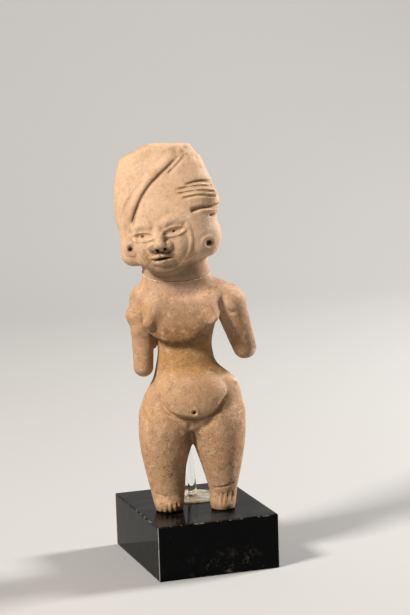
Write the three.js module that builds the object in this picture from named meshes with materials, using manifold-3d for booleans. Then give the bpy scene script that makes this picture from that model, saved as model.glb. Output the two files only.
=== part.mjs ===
// A fired clay standing figure on its black display plinth, in millimetres, +Z up.
// The plinth's front is -Y and the middle of its underside is the origin.
import * as THREE from "three";
import { mergeVertices } from "three/addons/utils/BufferGeometryUtils.js";
import Module from "manifold-3d";

const wasm = await Module();
wasm.setup();

// Driving sizes
const FIGURE_HEIGHT = 120;
const FIGURE_TURN_DEG = -17.8;
const FIGURE_FORWARD = 6.5;
const PLINTH_WIDTH = 41;
const PLINTH_DEPTH = 50;
const PLINTH_HEIGHT = 18;
const PLINTH_EDGE = 0.4;
const ROD_DIAMETER = 3;
const ROD_FOOT_DIAMETER = 19;
const ROD_FOOT_HEIGHT = 0.9;
const ROD_FOOT_RIM = 0.3;
const THREAD_DIAMETER = 0.4;
const THREAD_TAIL = 14;
const KNOT_DIAMETER = 1.1;
const SEAT_GAP = 0.3;
const ROD_BACK_GAP = 0.4;
const ROD_PAST_THREAD = 4.7;
const KNOT_PLACE = 0.62;

// Fineness of the carved surface: triangles left on it, and grid steps in hundredths of its height
const FIGURE_TRIANGLES = 8400;
const SIDE_STEP = 0.72;
const FINE_RISE = 0.55;
const PLAIN_RISE = 1.1;
const FINE_HEIGHTS = [[-1, 7], [22, 34], [66, 93]];

// The figure is carved in hundredths of its own height: x to its viewer's right, y away, z up.
const HUNDREDTH = FIGURE_HEIGHT / 100;
const BLOCK_LOW = [-22, -13, -1];
const BLOCK_HIGH = [21, 13, 102];

const clamp = (v, low, high) => Math.min(Math.max(v, low), high);
const mix = (a, b, t) => a + (b - a) * t;

// Join of two bodies with a fillet of about k, and the same for a cut.
function blend(a, b, k) {
  const h = clamp(0.5 + (0.5 * (b - a)) / k, 0, 1);
  return mix(b, a, h) - k * h * (1 - h);
}
const trim = (a, b, k) => -blend(-a, -b, k);

// Smooth run through stations; its slope at a station is that of its neighbours.
function run(stations, column, endsLevel = true) {
  const n = stations.length;
  const at = stations.map((s) => s[0]);
  const value = stations.map((s) => s[column]);
  const slope = value.map((_, i) => {
    if (endsLevel && (i === 0 || i === n - 1)) return 0;
    const low = Math.max(i - 1, 0);
    const high = Math.min(i + 1, n - 1);
    return (value[high] - value[low]) / (at[high] - at[low]);
  });
  return (z) => {
    let i = 0;
    while (i < n - 2 && z > at[i + 1]) i += 1;
    const h = at[i + 1] - at[i];
    const t = clamp((z - at[i]) / h, 0, 1);
    const s = 1 - t;
    return (
      value[i] * (1 + 2 * t) * s * s +
      slope[i] * h * t * s * s +
      value[i + 1] * t * t * (3 - 2 * t) -
      slope[i + 1] * h * t * t * s
    );
  };
}

// Upright body through stations of height, centre x, centre y, half width and half depth.
function column(stations, turnDeg = 0, power = 2) {
  const [cx, cy, halfWidth, halfDepth] = [1, 2, 3, 4].map((k) => run(stations, k));
  const turn = (turnDeg * Math.PI) / 180;
  const c = Math.cos(turn);
  const s = Math.sin(turn);
  return (x, y, z) => {
    const dx = x - cx(z);
    const dy = y - cy(z);
    const a = halfWidth(z);
    const b = halfDepth(z);
    const u = (dx * c + dy * s) / a;
    const v = (-dx * s + dy * c) / b;
    const round = Math.hypot(u, v) + 1e-9;
    const reach = power === 2 ? round : (Math.abs(u) ** power + Math.abs(v) ** power) ** (1 / power);
    return ((reach - 1) * round) / (Math.hypot(u / a, v / b) + 1e-9);
  };
}

// Egg with three half axes.
function egg(x, y, z, centre, half) {
  const u = (x - centre[0]) / half[0];
  const v = (y - centre[1]) / half[1];
  const w = (z - centre[2]) / half[2];
  const reach = Math.hypot(u, v, w) + 1e-9;
  return (reach * (reach - 1)) / (Math.hypot(u / half[0], v / half[1], w / half[2]) + 1e-9);
}

// Round limb from a to b whose radius runs from ra to rb.
function limb(x, y, z, a, b, ra, rb) {
  const d = [b[0] - a[0], b[1] - a[1], b[2] - a[2]];
  const along = (x - a[0]) * d[0] + (y - a[1]) * d[1] + (z - a[2]) * d[2];
  const h = clamp(along / (d[0] * d[0] + d[1] * d[1] + d[2] * d[2]), 0, 1);
  return Math.hypot(x - a[0] - h * d[0], y - a[1] - h * d[1], z - a[2] - h * d[2]) - mix(ra, rb, h);
}

// Height of a round-topped bump or hollow of radius r at distance d from its middle.
function bell(d, r) {
  const t = clamp(1 - (d / r) ** 2, 0, 1);
  return t * t;
}

// Tooled line seen from the front: a smooth curve through a few points, fading at both ends.
function tooled(points, width, depth, fade) {
  const steps = 3 * (points.length - 1);
  const rows = points.map((p, i) => [i, ...p]);
  const px = run(rows, 1, false);
  const pz = run(rows, 2, false);
  const curve = [];
  for (let i = 0; i <= steps; i += 1) {
    const t = (i / steps) * (points.length - 1);
    curve.push([px(t), pz(t)]);
  }
  return (x, z) => {
    let best = Infinity;
    let along = 0;
    for (let i = 0; i < steps; i += 1) {
      const [ax, az] = curve[i];
      const dx = curve[i + 1][0] - ax;
      const dz = curve[i + 1][1] - az;
      const h = clamp(((x - ax) * dx + (z - az) * dz) / (dx * dx + dz * dz), 0, 1);
      const d = Math.hypot(x - ax - h * dx, z - az - h * dz);
      if (d < best) {
        best = d;
        along = (i + h) / steps;
      }
    }
    if (best >= width) return 0;
    const end = clamp(Math.min(along, 1 - along) / fade, 0, 1);
    return depth * bell(best, width) * end * (2 - end);
  };
}

// Bodies of the figure
const LEFT_LEG = column([
  [0, -6.9, -0.6, 3.75, 4.2],
  [3, -7.05, -0.3, 4.3, 4.4],
  [6, -7.2, 0.0, 4.8, 4.7],
  [12, -7.6, 0.4, 5.75, 5.8],
  [18, -7.3, 0.8, 7.1, 7.0],
  [24, -6.9, 1.0, 7.6, 7.6],
  [31, -6.2, 1.0, 6.6, 6.6],
]);
const RIGHT_LEG = column([
  [0, 7.8, -0.2, 3.2, 4.2],
  [3, 7.95, 0.0, 3.6, 4.3],
  [6, 7.95, 0.2, 4.05, 4.6],
  [12, 7.75, 0.6, 5.55, 5.7],
  [18, 7.35, 1.0, 6.95, 7.0],
  [24, 7.1, 1.1, 7.6, 7.6],
  [31, 6.6, 1.0, 6.9, 6.6],
]);
const TRUNK = column([
  [20, 0.1, 1.0, 10.0, 6.2],
  [26, 0.1, 1.2, 13.8, 7.2],
  [31, 0.4, 0.9, 13.4, 7.3],
  [36, 0.9, 0.3, 11.2, 6.4],
  [40, -0.8, 0.1, 8.4, 5.6],
  [44, -1.2, 0.1, 7.4, 5.2],
  [48, -1.3, 0.1, 7.7, 5.2],
  [53, -1.8, 0.2, 9.6, 5.2],
  [58, -2.0, 0.4, 10.4, 5.0],
  [62, -2.7, 0.2, 9.6, 5.2],
  [65.5, -2.95, 0.0, 8.9, 5.6],
  [70, -3.3, -0.3, 8.9, 5.6],
  [75, -3.6, -0.3, 8.4, 5.4],
]);
const CHEST = column(
  [
    [45, -2.1, -1.2, 8.4, 5.4],
    [49, -2.1, -1.2, 9.2, 6.1],
    [53, -1.7, -1.0, 10.0, 5.9],
    [58, -1.5, -0.6, 10.2, 5.2],
    [62, -1.8, -0.2, 9.0, 4.6],
  ],
  0,
  2.6,
);
const HEAD = column(
  [
    [66, -4.6, -0.6, 12.0, 5.8],
    [70, -4.6, -0.6, 12.8, 6.4],
    [75, -4.5, -0.5, 13.1, 7.2],
    [80, -5.1, -0.2, 13.6, 7.6],
    [85, -5.2, 0.0, 13.9, 7.4],
    [90, -5.6, 0.3, 13.1, 6.6],
    [95, -6.2, 0.7, 11.5, 5.6],
    [100, -7.2, 1.1, 9.9, 4.8],
  ],
  -11,
  2.5,
);

// Legs, stub feet, seat and hip chip, and a belly whose underside is cut to a lip
function lowerBody(x, y, z) {
  let d = trim(blend(LEFT_LEG(x, y, z), RIGHT_LEG(x, y, z), 1.4), z - 29, 3);
  d = blend(d, egg(x, y, z, [-6.75, -2.4, 1.7], [3.6, 3.6, 2.7]), 1.2);
  d = blend(d, egg(x, y, z, [7.75, -1.5, 1.8], [3.1, 3.5, 2.7]), 1.2);
  d = blend(d, trim(trim(TRUNK(x, y, z), 21 - z, 4), z - 73, 3), 2.2);
  d = blend(d, egg(x, y, z, [-5.6, 3.4, 24.5], [6.6, 5.6, 6.6]), 2.5);
  d = blend(d, egg(x, y, z, [6.0, 3.6, 24.5], [6.6, 5.6, 6.6]), 2.5);
  d = blend(d, egg(x, y, z, [11.9, -0.6, 35.2], [1.0, 1.3, 0.8]), 0.6);
  const across = (x - 0.4) ** 2;
  const lip = 27.0 + 0.03 * across + 0.0003 * across ** 2 + 0.25 * (y + 7.5) - z;
  return blend(d, trim(egg(x, y, z, [-0.1, -2.9, 31.8], [10.3, 6.1, 9.0]), lip, 0.7), 0.5);
}

// Chest with its two outward breasts, shoulders and arm stumps
function upperBody(x, y, z, d) {
  let chest = trim(CHEST(x, y, z), z - 60.5, 3);
  chest = blend(chest, limb(x, y, z, [-8.2, -2.3, 56.6], [-10.6, -5.9, 52.7], 3.8, 1.7), 1.4);
  chest = blend(chest, limb(x, y, z, [5.0, -2.5, 56.8], [7.2, -5.9, 53.0], 3.8, 1.7), 1.4);
  const under = 47.0 + 0.042 * (x + 4) ** 2 + 0.2 * (y + 7) - z;
  d = blend(d, trim(chest, under, 1.2), 0.9);
  d = blend(d, limb(x, y, z, [-3.5, 0.2, 61.6], [-11.6, 0.4, 58.8], 4.3, 3.8), 1.6);
  d = blend(d, limb(x, y, z, [0.5, 0.2, 61.9], [10.4, 0.8, 58.0], 4.4, 4.0), 1.6);
  let left = limb(x, y, z, [-12.0, 0.6, 58.0], [-12.4, -0.6, 50.0], 3.8, 3.1);
  left = blend(left, limb(x, y, z, [-12.3, -0.6, 50.0], [-12.6, -1.2, 40.0], 3.05, 2.75), 1.0);
  left = blend(left, limb(x, y, z, [-9.7, -0.2, 51.0], [-9.4, -0.5, 45.4], 1.1, 0.6), 0.4);
  left = blend(left, egg(x, y, z, [-14.6, -0.8, 54.0], [2.2, 2.1, 2.3]), 1.6);
  left = trim(left, 37.0 - z, 0.5);
  d = blend(d, left, 0.35);
  let right = limb(x, y, z, [11.2, 1.4, 56.4], [15.1, 2.4, 43.9], 4.4, 3.2);
  right = blend(right, egg(x, y, z, [11.4, 0.2, 56.9], [3.9, 3.5, 3.8]), 1.6);
  return blend(d, right, 0.9);
}

// The face is a raised mask tilted on the head: u to its right, w up, from its middle.
const FACE_X = -6.9;
const FACE_Z = 75.8;
const FACE_TILT = (9 * Math.PI) / 180;
function faceFrame(x, z) {
  const c = Math.cos(FACE_TILT);
  const s = Math.sin(FACE_TILT);
  return [(x - FACE_X) * c + (z - FACE_Z) * s, -(x - FACE_X) * s + (z - FACE_Z) * c];
}
const EYE_APART = 4.2;
const EYE_UP = 1.2;
const NOSE_BASE = -2.9;
const MOUTH_UP = -5.4;

// Tall flattened head: slanted top, broken right shoulder, hair lock and ear side
function head(x, y, z) {
  let d = trim(HEAD(x, y, z), 0.12 * (x + 14) - 0.99 * (z - 67.4), 3.2);
  d = trim(d, z - 100 + 0.45 * Math.max(-9 - x, 0), 1.3);
  d = blend(d, egg(x, y, z, [4.4, -2.6, 84.2], [5.0, 4.6, 4.4]), 1.2);
  d = blend(d, egg(x, y, z, [3.5, -5.3, 86.9], [5.3, 2.9, 3.3]), 0.7);
  d = blend(d, egg(x, y, z, [5.4, -1.4, 75.2], [4.2, 4.5, 5.0]), 1.4);
  const [u, w] = faceFrame(x, z);
  const rim = 8 * Math.hypot((u - 1.0) / 8.0, (w + 0.6) / 9.4) - 8;
  d = blend(d, trim(egg(u, y, w, [0.6, -2.6, -0.2], [11.5, 7.1, 13.0]), rim, 0.7), 0.3);
  d = blend(d, egg(u, y, w, [0, -6.8, -7.4], [3.9, 2.4, 2.3]), 2.0);
  d = blend(d, limb(u, y, w, [0, -8.9, 3.2], [0, -10.4, -1.7], 0.8, 1.6), 1.1);
  for (const side of [-1, 1]) {
    d = blend(d, egg(u, y, w, [4.3 * side, -7.4, -3.8], [3.0, 2.2, 3.2]), 1.6);
    d = blend(d, egg(u, y, w, [1.85 * side, -9.6, NOSE_BASE + 0.7], [1.5, 1.3, 1.3]), 0.6);
  }
  d = blend(d, egg(u, y, w, [0, -9.1, MOUTH_UP - 0.85], [2.9, 1.3, 0.9]), 0.6);
  return blend(d, egg(u, y, w, [0, -9.2, MOUTH_UP + 0.8], [3.4, 1.3, 0.85]), 0.6);
}

const HEAD_LINES = [
  tooled([[-0.2, 97.6], [-8.8, 89.8], [-11.4, 86.0], [-13.2, 81.8], [-13.9, 78.6]], 0.9, 0.75, 0.2),
  tooled([[-2.0, 98.0], [-10.3, 90.4], [-13.0, 86.2], [-14.9, 81.8], [-15.6, 78.6]], 1.7, -0.6, 0.2),
  tooled([[0.8, 97.4], [-1.6, 94.8], [-4.4, 92.2]], 0.8, 0.5, 0.2),
  tooled([[-10.6, 90.8], [-13.0, 88.0], [-15.4, 84.4], [-16.6, 80.5]], 0.8, 0.35, 0.2),
  tooled([[1.7, 82.7], [5.0, 83.6], [9.6, 83.4]], 0.95, 1.2, 0.1),
  tooled([[6.4, 81.4], [8.6, 80.8], [10.0, 80.6]], 0.7, 0.8, 0.15),
];
const STRANDS = 4;
for (let i = 0; i < STRANDS; i += 1) {
  const z = 89.7 - 1.15 * i;
  const start = [0.2, -2.4, -2.2, -0.6][i];
  HEAD_LINES.push(tooled([[start, z - 0.2], [4.0, z + 0.6], [9.2, z]], 0.6, 0.65, 0.15));
}
const BODY_LINES = [
  tooled([[-9.4, 32.8], [-6.2, 28.0], [-1.8, 26.5], [2.6, 26.5], [7.0, 28.4], [9.6, 33.2]], 1.0, 0.5, 0.3),
  tooled([[-0.4, 22.6], [-0.6, 20.0], [-0.7, 15.6]], 1.7, 1.1, 0.2),
  tooled([[-7.4, 26.4], [-4.4, 24.4], [-2.0, 21.8]], 1.3, 0.4, 0.3),
  tooled([[6.4, 26.2], [3.4, 24.2], [1.2, 21.8]], 1.3, 0.35, 0.3),
];
const BROW = tooled([[1.2, 3.0], [3.0, 4.2], [5.2, 4.2], [7.4, 2.6]], 1.5, -0.5, 0.25);
const FOOT_LINES = [
  tooled([[-10.6, 5.2], [-8.0, 4.5], [-5.4, 4.2]], 0.5, 0.35, 0.2),
  tooled([[5.2, 6.2], [8.0, 6.6], [11.4, 7.6]], 0.5, 0.5, 0.15),
];
for (const toe of [-8.9, -7.2, -5.6, -4.1]) {
  FOOT_LINES.push(tooled([[toe - 0.3, 3.4], [toe + 0.1, -0.6]], 0.6, 0.7, 0.12));
}
for (const toe of [6.6, 7.9, 9.1, 10.2]) {
  FOOT_LINES.push(tooled([[toe + 0.3, 5.6], [toe - 0.4, 0]], 0.5, 0.7, 0.12));
}

// Depth of all the tooled lines, punched holes and shallow hollows on the front
function carving(x, y, z) {
  const front = clamp((-y - 0.5) / 2, 0, 1);
  if (front === 0) return 0;
  let cut = 0;
  if (z > 66) {
    for (const line of HEAD_LINES) cut += line(x, z);
    const [u, w] = faceFrame(x, z);
    for (const side of [-1, 1]) {
      const across = u - side * EYE_APART;
      const up = w - EYE_UP;
      const almond = Math.hypot(across / 2.7, up - 0.05 * across * side);
      cut += 0.4 * clamp(1 - almond ** 2, 0, 1) - 0.26 * bell(almond - 1.2, 0.36);
      cut += 0.8 * bell(Math.hypot(across, up), 0.5) + BROW(side * u, w);
      cut += 1.2 * bell(Math.hypot(u - side * 1.0, w - NOSE_BASE), 0.7);
    }
    cut += 0.6 * bell(Math.hypot(u, (w - MOUTH_UP) / 0.2) / 2.2, 1.3);
    for (const [cx, cz, rx, rz] of [[6.2, 74.0, 1.9, 1.9], [-14.7, 72.4, 1.5, 1.9]]) {
      const q = Math.hypot((x - cx) / rx, (z - cz) / rz);
      cut += 1.3 * bell(q, 0.42) - 0.55 * bell(q - 0.72, 0.42);
    }
    cut *= clamp((z - 66) / 3, 0, 1);
  } else if (z > 14 && z < 45) {
    for (const line of BODY_LINES) cut += line(x, z);
    cut += 1.2 * bell(Math.hypot(x - 0.8, z - 28.3), 0.75);
    cut += 0.45 * bell(Math.hypot(x + 0.4, (z - 24.4) / 1.4), 1.1);
  } else if (z < 9) {
    for (const line of FOOT_LINES) cut += line(x, z);
  }
  return cut * front;
}

// The whole figure: negative inside, in hundredths of its height
function figure(x, y, z) {
  const body = upperBody(x, y, z, lowerBody(x, y, z));
  const whole = z > 60 ? blend(body, head(x, y, z), 0.9) : body;
  return trim(whole + carving(x, y, z), -z, 0.35);
}

function slopeOf(field, p) {
  const e = 0.02;
  const g = [0, 1, 2].map((i) => {
    const a = [...p];
    const b = [...p];
    a[i] += e;
    b[i] -= e;
    return (field(...a) - field(...b)) / (2 * e);
  });
  return g;
}

// Moves a point onto the field's surface in a few small steps.
function settle(field, p, steps, most) {
  const q = [...p];
  for (let i = 0; i < steps; i += 1) {
    const g = slopeOf(field, q);
    const steep = g[0] * g[0] + g[1] * g[1] + g[2] * g[2] + 1e-9;
    const t = clamp(field(...q) / steep, -most, most);
    for (let k = 0; k < 3; k += 1) q[k] -= t * g[k];
  }
  return q;
}

// Surface of a field over a block: each grid cube is six tetrahedra round its diagonal, and a
// triangle or two is laid where the field changes sign.
function skinOf(field, ticks) {
  const count = ticks.map((t) => t.length);
  const node = (i, j, k) => (k * count[1] + j) * count[0] + i;
  const place = (n) => {
    const i = n % count[0];
    const j = Math.floor(n / count[0]) % count[1];
    const k = Math.floor(n / (count[0] * count[1]));
    return [ticks[0][i], ticks[1][j], ticks[2][k]];
  };
  const total = count[0] * count[1] * count[2];
  const value = new Float64Array(total);
  for (let n = 0; n < total; n += 1) value[n] = field(...place(n));
  const vertices = [];
  const made = new Map();
  function crossing(a, b) {
    const key = Math.min(a, b) * total + Math.max(a, b);
    if (made.has(key)) return made.get(key);
    const t = clamp(value[a] / (value[a] - value[b]), 0.1, 0.9);
    const pa = place(a);
    const pb = place(b);
    vertices.push(pa.map((v, i) => mix(v, pb[i], t)));
    made.set(key, vertices.length - 1);
    return vertices.length - 1;
  }
  const corner = [[0, 0, 0], [1, 0, 0], [0, 1, 0], [1, 1, 0], [0, 0, 1], [1, 0, 1], [0, 1, 1], [1, 1, 1]];
  const tetrahedra = [[0, 1, 3, 7], [0, 3, 2, 7], [0, 2, 6, 7], [0, 6, 4, 7], [0, 4, 5, 7], [0, 5, 1, 7]];
  const triangles = [];
  const lay = (a, b, c, inner) => {
    const [p, q, r, m] = [vertices[a], vertices[b], vertices[c], place(inner)];
    const u = q.map((v, i) => v - p[i]);
    const w = r.map((v, i) => v - p[i]);
    const n = [u[1] * w[2] - u[2] * w[1], u[2] * w[0] - u[0] * w[2], u[0] * w[1] - u[1] * w[0]];
    const out = n[0] * (p[0] - m[0]) + n[1] * (p[1] - m[1]) + n[2] * (p[2] - m[2]);
    triangles.push(out > 0 ? [a, b, c] : [a, c, b]);
  };
  for (let k = 0; k < count[2] - 1; k += 1) {
    for (let j = 0; j < count[1] - 1; j += 1) {
      for (let i = 0; i < count[0] - 1; i += 1) {
        const at = corner.map((c) => node(i + c[0], j + c[1], k + c[2]));
        const inCube = at.reduce((sum, n) => sum + (value[n] < 0 ? 1 : 0), 0);
        if (inCube === 0 || inCube === 8) continue;
        for (const tet of tetrahedra) {
          const inner = tet.map((t) => at[t]).filter((n) => value[n] < 0);
          const outer = tet.map((t) => at[t]).filter((n) => value[n] >= 0);
          if (inner.length === 1) {
            lay(...outer.map((o) => crossing(inner[0], o)), inner[0]);
          } else if (inner.length === 3) {
            lay(...inner.map((n) => crossing(n, outer[0])), inner[0]);
          } else if (inner.length === 2) {
            const [a, b] = outer.map((o) => crossing(inner[0], o));
            const [c, d] = outer.map((o) => crossing(inner[1], o));
            lay(a, b, d, inner[0]);
            lay(a, d, c, inner[0]);
          }
        }
      }
    }
  }
  return { vertices, triangles };
}

// Grid marks from low to high, a step apart that may change on the way
function marks(low, high, stepAt) {
  const list = [low];
  while (list.at(-1) < high) list.push(list.at(-1) + stepAt(list.at(-1)));
  return list;
}

const distance = (p, q) => Math.hypot(...p.map((v, i) => v - q[i]));

// Determinant of three columns of three numbers
function determinant(a, b, c) {
  const [x, y, z] = [b[1] * c[2] - b[2] * c[1], a[1] * c[2] - a[2] * c[1], a[1] * b[2] - a[2] * b[1]];
  return a[0] * x - b[0] * y + c[0] * z;
}

// Least-squares thinning: the edge whose loss moves the surface least goes first, and no loss may
// turn a face over or pinch the surface.
function thinned({ vertices, triangles }, wanted) {
  const faces = triangles.map((t) => [...t]);
  const touching = vertices.map(() => new Set());
  faces.forEach((f, i) => f.forEach((v) => touching[v].add(i)));
  const normalOf = (p, q, r) => {
    const u = [q[0] - p[0], q[1] - p[1], q[2] - p[2]];
    const w = [r[0] - p[0], r[1] - p[1], r[2] - p[2]];
    return [u[1] * w[2] - u[2] * w[1], u[2] * w[0] - u[0] * w[2], u[0] * w[1] - u[1] * w[0]];
  };
  const planes = vertices.map(() => new Float64Array(10));
  for (const f of faces) {
    const n = normalOf(...f.map((v) => vertices[v]));
    const size = Math.hypot(...n);
    if (size < 1e-12) continue;
    const [a, b, c] = n.map((v) => v / size);
    const p = vertices[f[0]];
    const d = -(a * p[0] + b * p[1] + c * p[2]);
    const q = [a * a, a * b, a * c, a * d, b * b, b * c, b * d, c * c, c * d, d * d];
    for (const v of f) q.forEach((value, i) => (planes[v][i] += value * size));
  }
  const misfit = (q, [x, y, z]) =>
    q[0] * x * x + 2 * q[1] * x * y + 2 * q[2] * x * z + 2 * q[3] * x + q[4] * y * y +
    2 * q[5] * y * z + 2 * q[6] * y + q[7] * z * z + 2 * q[8] * z + q[9];
  const version = new Int32Array(vertices.length);
  const heap = [];
  function push(item) {
    let i = heap.length;
    heap.push(item);
    while (i > 0) {
      const up = (i - 1) >> 1;
      if (heap[up].cost <= item.cost) break;
      heap[i] = heap[up];
      i = up;
    }
    heap[i] = item;
  }
  function pop() {
    const top = heap[0];
    const last = heap.pop();
    if (!heap.length) return top;
    let i = 0;
    for (;;) {
      let down = 2 * i + 1;
      if (down >= heap.length) break;
      if (down + 1 < heap.length && heap[down + 1].cost < heap[down].cost) down += 1;
      if (heap[down].cost >= last.cost) break;
      heap[i] = heap[down];
      i = down;
    }
    heap[i] = last;
    return top;
  }
  function offer(a, b) {
    const q = planes[a].map((v, i) => v + planes[b][i]);
    const [p, r] = [vertices[a], vertices[b]];
    const middle = p.map((v, i) => (v + r[i]) / 2);
    const length = distance(p, r);
    const columns = [[q[0], q[1], q[2]], [q[1], q[4], q[5]], [q[2], q[5], q[7]]];
    const right = [-q[3], -q[6], -q[8]];
    const whole = determinant(...columns);
    let best = middle;
    if (Math.abs(whole) > 1e-7) {
      const found = columns.map(
        (_, i) => determinant(...columns.map((column, k) => (k === i ? right : column))) / whole,
      );
      if (Math.hypot(...found.map((v, i) => v - middle[i])) < length) best = found;
    }
    const cost = Math.max(misfit(q, best), 0) + 2e-4 * length ** 4;
    push({ cost, a, b, best, stamp: version[a] + version[b] });
  }
  const around = (v) => {
    const found = new Set();
    for (const i of touching[v]) for (const w of faces[i]) if (w !== v) found.add(w);
    return found;
  };
  const keepsFacing = (v, other, target) => {
    for (const i of touching[v]) {
      const f = faces[i];
      if (f.includes(other)) continue;
      const before = normalOf(...f.map((w) => vertices[w]));
      const after = normalOf(...f.map((w) => (w === v ? target : vertices[w])));
      const [m, n] = [Math.hypot(...before), Math.hypot(...after)];
      const sides = f.filter((w) => w !== v).map((w) => distance(vertices[w], target));
      const longest = Math.max(...sides);
      if (n < 0.03 * longest * longest) return false;
      const along = before[0] * after[0] + before[1] * after[1] + before[2] * after[2];
      if (m > 1e-9 && along < 0.3 * m * n) return false;
    }
    return true;
  };
  faces.forEach((f) => {
    for (let k = 0; k < 3; k += 1) if (f[k] < f[(k + 1) % 3]) offer(f[k], f[(k + 1) % 3]);
  });
  let left = faces.length;
  while (left > wanted && heap.length) {
    const { a, b, best, stamp } = pop();
    if (touching[a].size === 0 || touching[b].size === 0 || stamp !== version[a] + version[b]) continue;
    const [nearA, nearB] = [around(a), around(b)];
    if (!nearA.has(b)) continue;
    if ([...nearA].filter((v) => nearB.has(v)).length !== 2) continue;
    if (!keepsFacing(a, b, best) || !keepsFacing(b, a, best)) continue;
    for (const i of [...touching[b]]) {
      const f = faces[i];
      if (f.includes(a)) {
        f.forEach((v) => touching[v].delete(i));
        faces[i] = null;
        left -= 1;
      } else {
        f[f.indexOf(b)] = a;
        touching[a].add(i);
      }
    }
    touching[b].clear();
    vertices[a] = best;
    planes[a].forEach((_, i) => (planes[a][i] += planes[b][i]));
    version[a] += 1;
    for (const v of around(a)) offer(a, v);
  }
  return { vertices, triangles: faces.filter(Boolean) };
}

function geometryOf({ vertices, triangles }, scale = 1) {
  const index = new Map();
  const positions = [];
  const faces = triangles.flat().map((v) => {
    if (!index.has(v)) {
      index.set(v, positions.length / 3);
      positions.push(...vertices[v].map((c) => c * scale));
    }
    return index.get(v);
  });
  const geometry = new THREE.BufferGeometry();
  geometry.setAttribute("position", new THREE.Float32BufferAttribute(positions, 3));
  geometry.setIndex(faces);
  geometry.computeVertexNormals();
  return geometry;
}

function solidOf(geometry) {
  const bare = geometry.clone();
  bare.deleteAttribute("normal");
  bare.deleteAttribute("uv");
  const merged = mergeVertices(bare, 1e-4);
  return new wasm.Manifold(
    new wasm.Mesh({
      numProp: 3,
      vertProperties: new Float32Array(merged.attributes.position.array),
      triVerts: new Uint32Array(merged.index.array),
    }),
  );
}

function geometryFrom(solid) {
  const mesh = solid.getMesh();
  const geometry = new THREE.BufferGeometry();
  geometry.setAttribute("position", new THREE.BufferAttribute(mesh.vertProperties, 3));
  geometry.setIndex(new THREE.BufferAttribute(mesh.triVerts, 1));
  geometry.computeVertexNormals();
  return geometry;
}

// Fired clay figure
function figureGeometry() {
  const fine = (z) => FINE_HEIGHTS.some(([low, high]) => z >= low && z < high);
  const ticks = [0, 1, 2].map((axis) =>
    marks(BLOCK_LOW[axis], BLOCK_HIGH[axis], (v) => {
      if (axis < 2) return SIDE_STEP;
      return fine(v) ? FINE_RISE : PLAIN_RISE;
    }),
  );
  const skin = skinOf(figure, ticks);
  skin.vertices = skin.vertices.map((p) => settle(figure, p, 2, 0.3));
  return geometryOf(thinned(skin, FIGURE_TRIANGLES), HUNDREDTH);
}

// The thread's slanted loop, in hundredths: its height at the sides of the neck, and its height at depth y
const THREAD_SIDE_HEIGHT = 65.6;
const THREAD_SLANT = 0.4;
const threadHeight = (y) => THREAD_SIDE_HEIGHT + THREAD_SLANT * y;

// Where a straight way in from outside first comes within a gap, in millimetres, of the figure
function meeting(outside, inside, gap) {
  const at = (t) => outside.map((v, i) => mix(v, inside[i], t));
  const isClear = (t) => figure(...at(t)) > gap / HUNDREDTH;
  const steps = 100;
  let near = 0;
  while (near < steps && isClear((near + 1) / steps)) near += 1;
  let [low, high] = [near / steps, Math.min(near + 1, steps) / steps];
  for (let k = 0; k < 16; k += 1) {
    const middle = (low + high) / 2;
    if (isClear(middle)) low = middle;
    else high = middle;
  }
  return at(low);
}

// The rod leans from its foot to the nape, as near as its gap to the back lets it, and ends past the thread.
const ROD_FOOT_SHARE = [-0.45, 10.9];
const ROD_TOP_SHARE = -6.2;
const BEHIND = 25;
function rodEnds() {
  const foot = new THREE.Vector3(...ROD_FOOT_SHARE, 0).multiplyScalar(HUNDREDTH);
  foot.y += ROD_BACK_GAP + ROD_DIAMETER / 2;
  const nape = meeting([ROD_TOP_SHARE, BEHIND, threadHeight(BEHIND)], [ROD_TOP_SHARE, 0, threadHeight(0)], 0);
  const height = nape[2] * HUNDREDTH + ROD_PAST_THREAD;
  let lean = -Infinity;
  for (let z = 4; z * HUNDREDTH <= height; z += 1) {
    const share = (z * HUNDREDTH) / height;
    const x = mix(ROD_FOOT_SHARE[0], ROD_TOP_SHARE, share);
    const back = meeting([x, BEHIND, z], [x, 0, z], ROD_BACK_GAP + ROD_DIAMETER / 2)[1] * HUNDREDTH;
    lean = Math.max(lean, (back - foot.y) / share);
  }
  return [foot, new THREE.Vector3(ROD_TOP_SHARE * HUNDREDTH, foot.y + lean, height)];
}
const [rodFoot, rodTop] = rodEnds();
function rodAt(z) {
  return rodFoot.clone().lerp(rodTop, (z - rodFoot.z) / (rodTop.z - rodFoot.z));
}

// Round rod whose lower end is cut level, just above its foot
function rodGeometry() {
  const sides = 24;
  const radius = ROD_DIAMETER / 2;
  const standsAt = SEAT_GAP + ROD_FOOT_HEIGHT + SEAT_GAP;
  const axis = rodTop.clone().sub(rodFoot).normalize();
  const across = new THREE.Vector3(1, 0, 0).projectOnPlane(axis).normalize();
  const other = new THREE.Vector3().crossVectors(axis, across);
  const vertices = [];
  for (let i = 0; i < sides; i += 1) {
    const turn = (2 * Math.PI * i) / sides;
    const spoke = across.clone().multiplyScalar(radius * Math.cos(turn));
    spoke.addScaledVector(other, radius * Math.sin(turn));
    const low = rodFoot.clone().add(spoke);
    low.addScaledVector(axis, (standsAt - low.z) / axis.z);
    vertices.push(low.toArray(), rodTop.clone().add(spoke).toArray());
  }
  vertices.push(rodAt(standsAt).toArray(), rodTop.toArray());
  const triangles = [];
  for (let i = 0; i < sides; i += 1) {
    const [a, b] = [2 * i, 2 * ((i + 1) % sides)];
    triangles.push([a, b, b + 1], [a, b + 1, a + 1], [2 * sides, b, a], [2 * sides + 1, a + 1, b + 1]);
  }
  return geometryOf({ vertices, triangles });
}

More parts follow.
